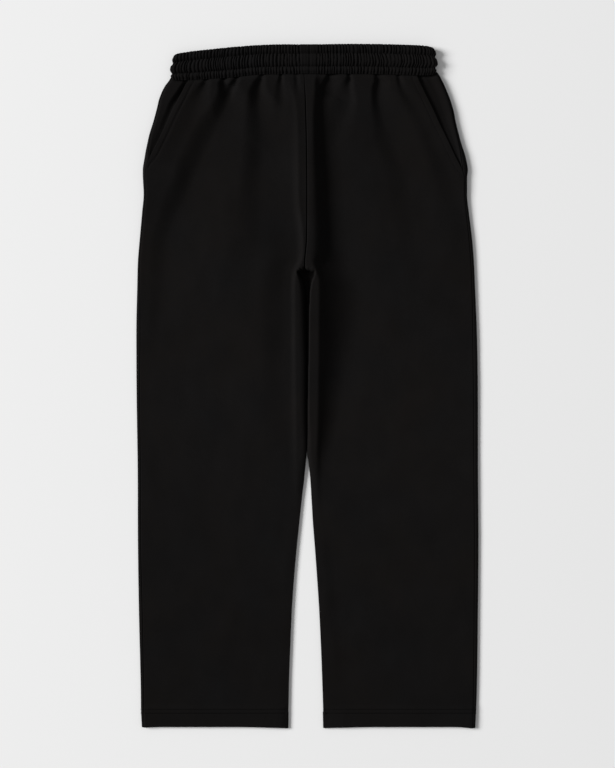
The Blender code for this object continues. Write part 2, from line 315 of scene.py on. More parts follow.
# Each side's outer fold, the back's seam beside it, and the front's edge.
OUTLINE = table(
    "drop right_fold right_seam right_front left_fold left_seam left_front",
    (40, -205, -203, -176, 195, 193, 163), (46, -206.2, -204.2, -178.7, 199.8, 197.8, 166.3),
    (55, -210.9, -208.9, -181.9, 204.6, 202.6, 170), (64, -217.5, -215.5, -186.6, 208.9, 206.9, 174.2),
    (82, -225.6, -223.6, -195.6, 216.3, 214.1, 183), (100, -230.1, -228.3, -205.2, 221.9, 219.6, 191.6),
    (119, -235.3, -233.5, -214, 225.7, 223.2, 200.2), (137, -240.9, -238.6, -222.2, 230.2, 227.2, 209),
    (155, -245, -241, -231.2, 235.2, 231, 217.8), (164, -246.8, -241.5, -235.7, 238.4, 232.6, 222),
    (173, -248.3, -240.9, -240.6, 240.8, 233.7, 226.3), (192, -251, -245.9, -245.9, 244, 236, 236),
    (201, -250.9, -247, -247, 242.8, 238.4, 238.4), (228, -249.6, -246.8, -246.8, 242.6, 239.3, 239.3),
    (255, -251.9, -249.2, -249.2, 245.2, 241.4, 241.4), (292, -255.2, -252.7, -252.7, 249.9, 245.4, 245.4),
    (329, -258.3, -255.5, -255.5, 253, 248.5, 248.5), (365, -259.3, -255.1, -255.1, 254.6, 250.2, 250.2),
    (440, -260.8, -254.7, -254.7, 257.7, 251.6, 251.6), (529, -260.4, -255.4, -255.4, 259.1, 252.6, 252.6),
    (650, -258.7, -254.3, -254.3, 259.3, 253.3, 253.3), (754, -258.4, -254, -254, 260, 254.1, 254.1),
    (860, -256.9, -251.5, -251.5, 259.2, 253.8, 253.8), (982, -254, -249.4, -249.4, 257.5, 252.8, 252.8),
    (1016, -253.6, -249.1, -249.1, 256.3, 252.2, 252.2), (1038.5, -252.3, -248.7, -248.7, 255, 251.8, 251.8),
)

# The legs' inner edges, the lips of the hollow between them, and the widths of their rolls.
INNERS = table(
    "drop right_leg left_leg right_lip left_lip right_roll left_roll",
    (343, -3.45, -3.15, -4.4, -4, 5, 5), (344.5, -3.35, -3.05, -11.5, 6, 3, 3),
    (347, -2.95, -2.65, -14.7, 10.2, 3, 1.6), (352, -1.75, -1.45, -12, 9.8, 4, 1.3),
    (360, -0.65, -0.35, -7.4, 6.8, 7, 1.2), (372, 0.05, 0.35, -4, 4.4, 10, 1.2),
    (395, -0.35, -0.05, -2.2, 2.9, 12, 1.2), (440, -0.75, -0.45, -1.2, 2.2, 12.6, 1.2),
    (500, -1.1, -0.8, -1.15, 1.2, 12.5, 1.6), (560, -1.2, -0.9, -1.25, 0.2, 10, 3),
    (605, -1.2, -0.9, -1.25, -0.2, 8, 6), (619, -1.3, -0.8, -1.3, -0.6, 8.5, 7),
    (639, -3.2, 1.7, -3.2, 1.7, 11, 8), (663, -5.8, 4.4, -5.8, 4.4, 13, 12),
    (693, -9.8, 6.6, -9.8, 6.6, 14, 14), (724, -13.2, 8.6, -13.2, 8.6, 14, 14),
    (784, -19.2, 13.2, -19.2, 13.2, 14, 14), (845, -24, 17.4, -24, 17.4, 14, 14),
    (906, -26.9, 20.6, -26.9, 20.6, 14, 14), (967, -29.2, 23, -29.2, 23, 14, 14),
    (1038.5, -30.4, 25.2, -30.4, 25.2, 14, 14),
)

# Between the legs: the height where front meets back, and of the hollow's floor beside it.
PITS = table(
    "drop meeting floor",
    (330, 1.7, 2.2), (372, 1.8, 2.4), (400, 2, 2.7), (440, 2.2, 3), (560, 2.3, 3.2), (619, 2.3, 3.3),
)

CENTRE_SEAM = table(
    "drop x",
    (46, -5.2), (94, -3.4), (160, -1.9), (237, -1.4), (298, -1.9), (335, -4.7), (343, -4.2),
)

# Drops of the waistband's two edges.
BAND_EDGES = table(
    "x top bottom",
    (-206, 19, 55), (-200, 15.7, 55.4), (-186, 12.8, 55.7), (-156, 9.1, 54.1), (-110, 4.5, 50.8),
    (-80, 2.2, 47.5), (-34, 0.8, 46.3), (0, 0.9, 45.8), (64, 0.1, 45.9), (110, 0.4, 46.4), (150, 1.5, 47.8),
    (180, 3.2, 48.4), (188, 5, 47.6), (199, 9, 47),
)

# How far the waistband reaches to each side, at a share of the way down it.
BAND_ENDS = table(
    "share right left",
    (0, -204.6, 193.6), (0.08, -206, 195.4), (0.18, -206.6, 196), (0.283, -206.6, 195.6),
    (0.42, -208.8, 197.2), (0.6, -209.6, 198.4), (0.75, -208.2, 196), (0.86, -209, 196.4), (1, -208.2, 195),
)

# How far the casing's face lies inside the full stack, and how strongly it is gathered there.
BAND_FACES = table(
    "share inset gather",
    (0, 1.2, 0.8), (0.06, 0.2, 1), (0.13, 0.4, 1), (0.19, 1.3, 1), (0.24, 2.9, 1.1), (0.283, 4.2, 1.1),
    (0.325, 3.1, 1.2), (0.375, 1.1, 1.15), (0.44, 0.2, 1), (0.54, 0.1, 1), (0.63, 0.8, 1), (0.71, 2.4, 1.05),
    (0.762, 4.4, 1.1), (0.8, 3, 1.2), (0.84, 1, 1.1), (0.89, 0.4, 1), (0.95, 1.2, 1), (1, 3, 0.9),
)

# Each side's general height. The right side also swells inwards, and has a ridge between its long creases.
LEVELS = table(
    "drop right left swell ridge",
    (46, 12.6, 12.2, 0, 0), (64, 13, 11.2, 0.3, 0.5), (80, 13, 10, 0.6, 1.6), (100, 13, 9.2, 0.9, 3),
    (150, 12.2, 8, 1.4, 4.6), (200, 10.8, 7.4, 2.2, 4.8), (250, 9.3, 7, 3.6, 4.2), (300, 7.8, 6.5, 6, 3.2),
    (345, 6.2, 5.8, 8.6, 1.8), (400, 4.9, 5, 7.6, 0.8), (470, 4.3, 4.5, 5.6, 0), (560, 4, 4.2, 3.6, 0),
    (640, 4, 4, 1.6, 0), (720, 4, 4, 0, 0), (1004, 4, 4, 0, 0), (1011, 5.7, 5.7, 0, 0),
    (1038.5, 5.7, 5.7, 0, 0),
)

# The strip of slack cloth down the centre front. On the right a shallow valley leads to a climb from foot
# to crest, sharper for a higher climb. On the left the strip ends at its edge, rounds over a shoulder, falls
# over reach to floor, and comes back to the general level over recover.
SPINE = table(
    "drop valley foot crest right_top left_top edge shoulder reach floor recover climb",
    (46, 0, -44, -32, 12.6, 12.6, 12, 3, 16, 11, 30, 2.6),
    (60, 0.3, -39, -28, 14.2, 14.2, 10, 6, 16, 8.6, 44, 2.6),
    (80, 0.6, -35, -21, 15.8, 16.6, 7.4, 15, 19, 7.4, 54, 2.8),
    (100, 0.7, -32, -17.4, 16.6, 17.8, 5.8, 15, 21, 6.4, 58, 2.8),
    (142, 0.9, -31, -15.4, 17, 18.6, 5, 17, 27, 4.6, 64, 3),
    (202, 1.2, -31, -14.8, 17.4, 19.4, 4.6, 23, 36, 3.4, 68, 3.2),
    (237, 1.6, -30, -14.4, 17.6, 19.9, 4.2, 26, 39, 2.9, 70, 3.4),
    (263, 2.2, -26, -11.4, 17.6, 20.4, 4, 29, 42, 2.4, 74, 3.6),
    (294, 3, -23, -7.8, 17.8, 21.2, 3.8, 31, 46, 2.3, 76, 3.8),
    (318, 3.6, -22, -7.6, 17.8, 21.8, 4, 28, 52, 2.3, 76, 4),
    (330, 4.2, -24, -9.6, 17.4, 22.4, 3.6, 20, 56, 2.3, 74, 4.4),
    (343, 4.6, -30, -16.2, 16.6, 23.4, 9.2, 10, 60, 2.3, 70, 5),
    (362, 4.6, -32, -20.4, 15.2, 24.2, 15.2, 9, 68, 2.3, 64, 7),
    (394, 4.4, -34, -20.6, 12.8, 24.2, 15.4, 9, 68, 2.3, 60, 7),
    (430, 4, -33, -20.4, 11.4, 22.8, 15.2, 9, 60, 2.3, 56, 6.5),
    (470, 3.4, -33, -20, 10.4, 20.8, 15, 9, 52, 2.4, 50, 5.4),
    (541, 2, -33, -18.8, 9.7, 15.8, 14, 9, 39, 2.7, 44, 4),
    (587, 1.4, -32, -17.8, 8.9, 13, 13, 9, 32, 3, 38, 3.4),
    (617, 1, -31, -17.4, 7.9, 10.6, 11.5, 9, 28, 3.4, 36, 2.8),
    (663, 0.4, -29, -16, 5.9, 6.6, 11, 9, 25, 3.9, 30, 2.6),
    (720, 0, -27, -15, 4, 4, 11, 9, 18, 4, 30, 2.6),
)

FRONT_CREASES = creases(
    right_hip=(
        (-155, 46, 3, 4, 5), (-157, 54, 3.8, 5, 8), (-160, 61, 3.8, 8, 12), (-168, 73, 3.4, 14, 20),
        (-179, 91, 3.6, 26, 34), (-190, 116, 4.2, 36, 46), (-201, 134, 3.6, 36, 48), (-213, 160, 1.8, 32, 46),
        (-222, 190, 0, 28, 40),
    ),
    right_long=(
        (-129, 46, 4.4, 5, 6), (-130.5, 54, 5.4, 6, 10), (-132.5, 61, 6.4, 9, 18), (-131, 73, 7.6, 14, 30),
        (-134, 91, 9, 23, 56), (-149, 116, 10.4, 32, 96), (-164, 146, 10.6, 36, 120),
        (-183, 184, 9.8, 36, 130), (-191, 207, 8.6, 34, 130), (-205, 237, 7.4, 34, 120),
        (-217, 268, 5, 28, 96), (-226, 298, 3.2, 28, 70), (-228, 344, 2.8, 30, 54), (-232, 389, 1.6, 20, 44),
        (-236, 440, 0.6, 20, 40), (-238, 510, 0, 20, 36),
    ),
    right_twin=(
        (-110, 46, 4.2, 5, 5), (-111, 53, 4.8, 6, 7), (-116, 61, 4.6, 8, 8), (-123, 72, 3, 9, 11),
        (-130, 84, 0, 10, 14),
    ),
    right_middle=(
        (-71, 46, 3.6, 5, 5), (-75, 54, 5.4, 8, 10), (-79, 61, 6.6, 11, 14), (-83, 73, 7.8, 17, 20),
        (-85, 91, 8.2, 21, 34), (-84, 116, 8.2, 27, 50), (-84, 146, 7.8, 31, 62), (-84, 172, 7.2, 34, 62),
        (-86, 202, 6, 36, 60), (-87, 237, 4.6, 40, 56), (-90, 268, 3.2, 44, 54), (-97, 298, 2, 46, 50),
        (-106, 330, 1.2, 46, 46), (-112, 380, 0, 44, 44),
    ),
    right_inner=(
        (-42, 46, 3.4, 4, 4), (-43, 54, 3, 6, 6), (-45, 64, 2.6, 10, 9), (-46, 84, 2.2, 14, 12),
        (-47, 104, 1.2, 16, 14), (-47, 136, 0, 18, 16),
    ),
    right_pleat=((-20, 46, 1.8, 6, 6), (-19, 58, 1.8, 6, 6), (-18, 70, 0.8, 7, 7), (-17, 82, 0, 8, 8)),
    left_notch=(
        (31, 45, 4.4, 5, 18), (28, 53, 5.6, 7, 34), (23, 62, 5.8, 8, 46), (17, 72, 3.6, 9, 40),
        (14, 85, 0, 10, 30),
    ),
    left_inner=(
        (61, 46, 3.6, 4, 4), (60.5, 54, 4.6, 7, 7), (57, 61, 5, 14, 9), (53, 71, 4.8, 22, 11),
        (50, 83, 3.8, 26, 14), (46, 97, 3, 27, 16), (41, 112, 2.2, 26, 20), (34, 130, 1.4, 22, 24),
        (26, 152, 0, 20, 24),
    ),
    left_middle=(
        (102, 46, 3.4, 4, 8), (103.5, 56, 5, 6, 22), (101, 69, 5.4, 9, 30), (102, 91, 4.8, 13, 38),
        (107, 116, 4.4, 20, 48), (113, 146, 3.8, 28, 50), (128, 184, 3.2, 30, 46), (138, 237, 2.2, 34, 44),
        (150, 298, 1.4, 36, 40), (164, 380, 0, 36, 40),
    ),
    left_hip=(
        (136, 46, 3, 4, 5), (136.5, 55, 2.8, 5, 7), (141, 70, 1.8, 8, 10), (148, 84, 1.8, 12, 16),
        (160, 106, 1.8, 18, 18), (172, 130, 1.6, 20, 22), (180, 150, 2.2, 22, 26), (196, 184, 2.2, 24, 24),
        (214, 237, 1.8, 26, 22), (230, 298, 1.2, 26, 18), (237, 380, 0, 24, 18),
    ),
    left_pocket=((168, 44, 3, 4, 5), (170, 54, 2, 5, 6), (174, 66, 0, 7, 8)),
    left_inseam=(
        (24, 720, 0, 16, 26), (29, 784, 0.8, 16, 30), (38, 850, 0.9, 16, 34), (45, 921, 0.9, 16, 36),
        (47, 985, 0, 16, 36),
    ),
)

FACING_CREASES = creases(
    right_mouth=(
        (-185, 50, 3, 5, 10), (-188, 60, 5, 8, 13), (-194, 70, 5.4, 8, 14), (-202, 82, 5, 9, 16),
        (-208, 91, 3.8, 9, 16), (-213, 104, 2.8, 9, 15), (-218, 116, 2.2, 9, 14), (-223, 131, 1.5, 9, 12),
        (-229, 146, 0.8, 8, 10), (-234, 160, 0, 8, 10),
    ),
)

BACK_CREASES = creases(
    right_side=(
        (-172, 50, 2.4, 7, 12), (-176, 84, 1.6, 10, 18), (-184, 150, 0.8, 16, 28), (-190, 230, 0, 20, 30),
    ),
    right_outer=(
        (-126, 48, 3, 8, 14), (-131, 90, 2.4, 12, 22), (-142, 170, 1.4, 18, 34), (-156, 290, 0, 24, 40),
    ),
    right_seat=((-83, 46, 2.6, 7, 12), (-80, 80, 2, 10, 20), (-74, 140, 1.2, 16, 26), (-70, 220, 0, 20, 30)),
    right_centre=(
        (-38, 46, 3, 7, 13), (-36, 96, 2.2, 12, 20), (-30, 200, 1.6, 18, 30), (-24, 330, 0, 20, 34),
    ),
    left_centre=((28, 46, 2.8, 8, 12), (26, 84, 2, 11, 20), (20, 170, 1.4, 16, 28), (16, 300, 0, 20, 30)),
    left_seat=((69, 46, 2.6, 7, 12), (72, 96, 1.8, 12, 22), (78, 180, 0, 18, 30)),
    left_outer=((112, 47, 3, 8, 14), (118, 100, 2.2, 13, 24), (130, 200, 1.2, 20, 34), (140, 320, 0, 24, 40)),
    left_side=((161, 48, 2.4, 7, 12), (168, 88, 1.6, 11, 18), (178, 150, 0, 16, 26)),
    right_knee=(
        (-196, 520, 0, 20, 30), (-150, 575, 1.2, 24, 36), (-96, 610, 0.8, 24, 36), (-60, 640, 0, 20, 30),
    ),
    left_knee=((78, 560, 0, 20, 30), (130, 600, 1.1, 24, 36), (186, 655, 0.7, 24, 36), (214, 700, 0, 20, 30)),
)


# ---- form ----


@dataclass(frozen=True)
class Form:
    """The garment's lie: its outline, its inner edges, its level, its centre strip and its creases."""

    outline: Table = OUTLINE
    inners: Table = INNERS
    pits: Table = PITS
    centre_seam: Table = CENTRE_SEAM
    band_edges: Table = BAND_EDGES
    levels: Table = LEVELS
    spine: Table = SPINE
    creases: tuple[Crease, ...] = FRONT_CREASES
    back_creases: tuple[Crease, ...] = BACK_CREASES
    floor_node: str = "back_left"
    length: float = 1038.5
    waist_fold: float = 205.0
    crotch: float = 343.0
    band_low: float = 46.0
    slant: Ramp = Ramp(0, 150)
    meeting: float = 2.3
    fold_reach: float = 7.0
    floor_reach: float = 4.0
    edge_reach: float = 2.6
    roll_powers: Pair = (0.5, 0.95)
    roll_sharpens: Ramp = Ramp(630, 60)
    swell: Ramp = Ramp(-235, 190)
    ridge_up: Ramp = Ramp(-235, 110)
    ridge_down: Ramp = Ramp(-128, 98)
    valley: Ramp = Ramp(-40, 40)
    fall_power: float = 2.3
    recover_from: float = 0.8
    strip_sag: float = 0.5
    blur: tuple[Pair, ...] = ((-2.6, 0.1), (-1.3, 0.2), (0.0, 0.4), (1.3, 0.2), (2.6, 0.1))
    seam_roll: float = 1.1
    seam_in: float = 1.05
    uneven: tuple[Waves, ...] = (Waves(0.26, 5, 9, (55, 120), 1.2), Waves(0.08, 11, 9, (24, 46), 1.0))
    uneven_in: Ramp = Ramp(60, 120)
    uneven_out: Ramp = Ramp(985, 20)
    tuck: float = 4.6
    tuck_reach: Ramp = Ramp(0, 5)
    under_band: float = 3.0
    under_band_reach: Ramp = Ramp(0, 3)
    least: Pair = (2.2, 0.7)
    hip_sag: float = 0.42
    hip: Ramp = Ramp(60, 110)
    hip_width: Ramp = Ramp(0, 34)
    hip_least: float = 4.0
    back_lag_size: float = 1.8
    back_lag_end: Ramp = Ramp(585, 32)
    arch: float = 0.8
    arch_in: Ramp = Ramp(8.8, 22)

    def place(self, x: Array, drop: Array, height: Array) -> Array:
        """Points in metres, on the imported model's own ground.

        Args:
            x: Across.
            drop: Down from the waistband's top.
            height: Above the ground.

        Returns:
            An array with a last axis of three.
        """
        low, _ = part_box(self.floor_node)
        x, drop, height = np.broadcast_arrays(x, drop, height)
        return np.stack([x * MM, low.y + (self.length - drop) * MM, low.z + height * MM], axis=-1)

    def slanted(self, x: Array, row: Array) -> Array:
        """Drop of a row: its first follows the waistband's lower edge, and those below straighten out."""
        lowered = self.band_edges.at("bottom", x) - self.band_low
        return row + lowered * self.slant.down(row - self.band_low)

    def line(self, side: Side, name: str, row: Array) -> Array:
        """x of one of the side's outer lines (fold, seam or front), for a row."""
        at_fold = self.slanted(np.full(np.shape(row), self.waist_fold * side.value), row)
        return self.outline.at(f"{side.word}_{name}", at_fold)

    def inner(self, side: Side, name: str, drop: Array) -> Array:
        """x of the leg's inner edge (leg), of the hollow's lip (lip), or the roll's width (roll)."""
        return self.inners.at(f"{side.word}_{name}", drop)

    def inner_edge(self, side: Side, drop: Array) -> Array:
        """x of a panel's inner edge: the centre seam, and the leg's own edge below the crotch."""
        return np.where(drop > self.crotch, self.inner(side, "leg", drop), self.centre_seam.at("x", drop))

    def back_lag(self, drop: Array) -> Array:
        """How far the back's inner edges lie to the left of the front's, so that the seams don't line up."""
        return self.back_lag_size * self.back_lag_end.down(drop)

    def opening_distance(self, side: Side, name: str, x: Array, drop: Array) -> Array:
        """Distance to the opening between the legs, bounded by its lips or by the legs' edges."""
        beside = np.maximum(side.value * (x - self.inner(side, name, drop)), 0.0)
        return np.hypot(beside, np.maximum(self.crotch - drop, 0.0))

    def strip_height(self, side: Side, x: Array, drop: Array, level: Array) -> Array:
        """Height with the centre strip on it.

        Right: the level with its swell and its ridge, less a smoothstep valley, then up to the strip's top
        as the share of the way from foot to crest, raised to the row's climb. Left: down from the strip's
        top as 1 − (1 − t)^fall_power over the reach, eased in by the smoothstep shoulder, then back to the
        level by another. Between crest and edge the strip sags as a half sine.

        Args:
            side: The panel's side.
            x: Places across.
            drop: Places down.
            level: The general height there.

        Returns:
            The height.
        """
        strip = self.spine.every(drop)
        if side is Side.RIGHT:
            low = level + self.levels.at("swell", drop) * self.swell.up(x)
            low = low - strip.valley * self.valley.up(x - strip.foot)
            low = low + self.levels.at("ridge", drop) * self.ridge_up.up(x) * self.ridge_down.down(x)
            share = np.clip((x - strip.foot) / (strip.crest - strip.foot), 0, 1)
            height = low + (strip.right_top - low) * share**strip.climb
        else:
            beyond = x - strip.edge
            fallen = 1 - (1 - np.clip(beyond / strip.reach, 0, 1)) ** self.fall_power
            fallen = fallen * smoothstep(beyond / strip.shoulder)
            back = smoothstep((beyond - strip.reach * self.recover_from) / strip.recover)
            height = strip.left_top + (strip.floor - strip.left_top) * fallen + (level - strip.floor) * back
        middle = np.clip((x - strip.crest) / (strip.edge - strip.crest), 0, 1)
        return height - self.strip_sag * np.sin(np.pi * middle) * (drop < self.crotch)

    def seam_step(self, drop: Array) -> Array:
        """How far the left panel rolls down into the centre seam, to meet the right one.

        Args:
            drop: Places down.

        Returns:
            The difference of the sides' heights at the seam: nothing below the crotch.
        """
        x = self.centre_seam.at("x", drop)
        right, left = (self.strip_height(side, x, drop, self.levels.at(side.word, drop)) for side in Side)
        return np.maximum(left - right, 0.0) * (drop <= self.crotch)

    def top(self, side: Side, x: Array, row: Array) -> Array:
        """Height of the upper cloth.

        It is the slightly blurred strip height less the creases, with its unevenness, tucked in under the
        waistband and kept above a least height. It sags at the hip, and is rounded off at the side fold, at
        the hollow's lip and at the leg's inner edge.

        Args:
            side: The panel's side.
            x: Places across.
            row: Their rows.

        Returns:
            The height.
        """
        drop = self.slanted(x, row)
        level = self.levels.at(side.word, drop)
        height = sum(share * self.strip_height(side, x + shift, drop, level) for shift, share in self.blur)
        if side is Side.LEFT:
            from_seam = x - self.inner_edge(side, row) - self.seam_in
            height = height - self.seam_step(drop) * (1 - rounded(from_seam, self.seam_roll))
        for line in self.creases:
            height = height - line.depth(x, drop)
        for waves in self.uneven:
            height = height + self.uneven_in.up(drop) * self.uneven_out.down(drop) * waves.at(x, drop)
        height = height - self.tuck * self.tuck_reach.down(row - self.band_low)
        height = height - self.under_band * self.under_band_reach.up(self.band_low - row)
        height = soft_floor(height, *self.least)
        inside = side.value * (self.line(side, "fold", row) - x)
        sag = self.hip_sag * self.hip.down(row) * self.hip_width.down(inside)
        height = height - sag * np.maximum(height - self.hip_least, 0)
        edge = rounded(self.opening_distance(side, "leg", x, row), self.edge_reach)
        soft, sharp = self.roll_powers
        power = soft + (sharp - soft) * self.roll_sharpens.up(row)
        roll = rounded(self.opening_distance(side, "lip", x, row), self.inner(side, "roll", row), power)
        pit = self.pits.every(row)
        raised = (pit.floor - pit.meeting) * edge + (height - pit.floor) * roll
        return self.meeting + rounded(inside, self.fold_reach) * (pit.meeting - self.meeting + raised)

    def under(self, side: Side, x: Array, row: Array) -> Array:
        """Height of the lower cloth: on the ground, but arched off it at its creases and curled up at the
        inside leg as 1 − rounded.

        Args:
            side: The panel's side.
            x: Places across.
            row: Their rows.

        Returns:
            The height.
        """
        drop = self.slanted(x, row)
        height = sum(self.arch * line.depth(x, drop) for line in self.back_creases)
        height = np.maximum(height, 0.0) * self.arch_in.up(side.value * (self.line(side, "fold", row) - x))
        from_edge = self.opening_distance(side, "leg", x - self.back_lag(row), row)
        return height + (self.pits.at("meeting", row) - height) * (1 - rounded(from_edge, self.floor_reach))


# ---- meshes ----


def outward(points: Array, facing: int) -> Array:
    """Unit normals of a grid: its column direction × its row direction, times facing (1 or −1)."""
    return facing * unit(np.cross(np.gradient(points, axis=1), np.gradient(points, axis=0)))


def turn_edge(points: Array, out: Array, radius: Array, steps: int, returned: int) -> tuple[Array, Array]:
    """Carries the last column on round a half circle and back under the cloth.

    With E the edge, T the direction off it and O the outward direction, the turn is E + r sin φ · T −
    r (1 − cos φ) · O for φ up to π, and the returned columns are the last ones shifted by −2r · O.

    Args:
        points: Grid of points.
        out: Outward direction at each point.
        radius: Turn's radius for each row, in metres.
        steps: Number of columns round the turn.
        returned: Number of columns that come back.

    Returns:
        The longer grid and its outward directions.
    """
    edge, away = points[:, -1], out[:, -1]
    off = edge - points[:, -2]
    off = unit(off - (off * away).sum(-1, keepdims=True) * away)
    r = np.broadcast_to(radius, edge.shape[:1])[:, None, None]
    angle = (np.pi * np.arange(1, steps + 1) / steps)[None, :, None]
    arc = edge[:, None] + r * (np.sin(angle) * off[:, None] - (1 - np.cos(angle)) * away[:, None])
    back_out = out[:, -2 : -2 - returned : -1]
    back = points[:, -2 : -2 - returned : -1] - 2 * r * back_out
    outs = [out, np.repeat(away[:, None], steps, axis=1), back_out]
    return np.concatenate([points, arc, back], axis=1), np.concatenate(outs, axis=1)


def lengths_along(points: Array, axis: int) -> Array:
    """Running length along one axis of a grid of points, from 0."""
    run = np.cumsum(np.linalg.norm(np.diff(points, axis=axis), axis=-1), axis=axis)
    return np.concatenate([np.zeros_like(np.take(run, [0], axis=axis)), run], axis=axis)


def quad_faces(rows: int, columns: int, flip: bool = False, joined: str = "") -> Array:
    """Corner numbers of a grid's quads.

    Args:
        rows: Points down.
        columns: Points across.
        flip: Turns the faces round.
        joined: What closes on itself: "rows" for the last row to the first, "columns", or both words.

    Returns:
        One row of four corners for each face.
    """
    index = np.arange(rows * columns).reshape(rows, columns)
    index = np.vstack([index, index[:1]]) if "rows" in joined else index
    index = np.hstack([index, index[:, :1]]) if "columns" in joined else index
    corners = index[:-1, :-1], index[:-1, 1:], index[1:, 1:], index[1:, :-1]
    faces = np.stack(corners, axis=-1).reshape(-1, 4)
    return faces[:, ::-1] if flip else faces


def link_object(name: str, data: bpy.types.ID) -> Piece:
    """A new object with that mesh, lamp or camera, in the scene."""
    made = bpy.data.objects.new(name, data)
    bpy.context.scene.collection.objects.link(made)
    return made


def mesh_object(
    name: str, points: Array, faces: list[list[int]], material: Material, uv: Array | None = None
) -> Piece:
    """A smooth mesh object at the origin.

    Args:
        name: The piece's name.
        points: Points, with a last axis of three.
        faces: Each face's corners.
        material: Its finish.
        uv: The same shape of pairs, for the UV map "cloth".

    Returns:
        The object, linked to the scene.
    """
    mesh = bpy.data.meshes.new(name)
    mesh.from_pydata(points.reshape(-1, 3).tolist(), [], faces)
    if uv is not None:
        corners = np.empty(len(mesh.loops), np.int32)
        mesh.loops.foreach_get("vertex_index", corners)
        layer = mesh.uv_layers.new(name="cloth")
        layer.data.foreach_set("uv", uv.reshape(-1, 2)[corners].astype(np.float32).ravel())
    mesh.shade_smooth()
    mesh.materials.append(material)
    mesh.update()
    return link_object(name, mesh)


def cloth_object(name: str, points: Array, facing: int, wall: float, material: Material) -> Piece:
    """An open sheet of cloth, with running lengths as its UVs and its wall given inwards.

    Args:
        name: The piece's name.
        points: Grid of its outer face.
        facing: Its outward side, as for outward().
        wall: Its thickness, in metres.
        material: Its finish.

    Returns:
        The object.
    """
    uv = np.stack([lengths_along(points, 1), -lengths_along(points, 0)], axis=-1)
    faces = quad_faces(*points.shape[:2], flip=facing < 0)
    piece = mesh_object(name, points, faces.tolist(), material, uv)
    solidify = piece.modifiers.new("cloth_thickness", "SOLIDIFY")
    solidify.thickness = wall
    solidify.offset = -1.0
    solidify.use_rim = True
    return piece


# ---- finishes ----


class Shading:
    """A new material with its Principled shader, and short ways to add the nodes that feed it."""

    def __init__(self, name: str, values: dict[str, object]) -> None:
        """Makes the material.

        Args:
            name: Its name.
            values: What to set on its shader's sockets, by their names.
        """
        self.material = bpy.data.materials.new(name)
        self.material.use_nodes = True
        self.tree = self.material.node_tree
        self.shader = self.tree.nodes["Principled BSDF"]
        for socket, value in values.items():
            self.shader.inputs[socket].default_value = value

    def add(self, kind: str, inputs: dict[int | str, object], operation: str = "") -> bpy.types.NodeOutputs:
        """Adds a node.

        Args:
            kind: Its type, without ShaderNode.
            inputs: For its inputs, by name or number, the sockets that feed them or their values.
            operation: What it does, where it has a choice.

        Returns:
            Its outputs.
        """
        node = self.tree.nodes.new(f"ShaderNode{kind}")
        if operation:
            node.operation = operation
        for slot, value in inputs.items():
            self.feed(node, slot, value)
        return node.outputs

    def feed(self, node: bpy.types.Node, slot: int | str, value: object) -> None:
        """Feeds a node's input.

        Args:
            node: The node.
            slot: The input's name or number.
            value: A socket to link to it, or a value to set on it.
        """
        if isinstance(value, Socket):
            self.tree.links.new(value, node.inputs[slot])
        else:
            node.inputs[slot].default_value = value

    def math(self, kind: str, *values: object) -> Socket:
        """A Math node's result, from sockets or numbers."""
        return self.add("Math", dict(enumerate(values)), kind)[0]

    def plus(self, *values: object) -> Socket:
        """All the values added up."""
        return reduce(lambda total, value: self.math("ADD", total, value), values)

    def times(self, *values: object) -> Socket:
        """All the values multiplied."""
        return reduce(lambda product, value: self.math("MULTIPLY", product, value), values)

    def noise(self, place: Socket, size: float, detail: float, rough: float) -> Socket:
        """A Noise node's value, with features of about that size in metres."""
        inputs = {"Vector": place, "Scale": 1 / size, "Detail": detail, "Roughness": rough}
        return self.add("TexNoise", inputs)[0]

    def sway(self, noise: Socket, change: float) -> Socket:
        """2 · change · (noise − ½)."""
        return self.times(self.math("SUBTRACT", noise, 0.5), 2 * change)

    def scaled(self, colour: Colour, amount: Socket) -> Socket:
        """The colour times an amount."""
        return self.add("VectorMath", {0: colour, "Scale": amount}, "SCALE")[0]

    def finish(self, colour: Socket, height: Socket, strength: float, distance: float) -> Material:
        """Feeds the shader its colour and its relief.

        Args:
            colour: The colour.
            height: The relief's height.
            strength: How strongly it bends the light, up to 1.
            distance: The relief's depth, in metres.

        Returns:
            The material.
        """
        self.feed(self.shader, "Base Color", colour)
        bump = self.add("Bump", {"Height": height, "Strength": strength, "Distance": distance})
        self.feed(self.shader, "Normal", bump["Normal"])
        return self.material


class Knit(Enum):
    """How a jersey lies, with its relief's strength: its plain face, or crushed in the gathered casing."""

    PLAIN = 0.55
    CRUSHED = 0.4


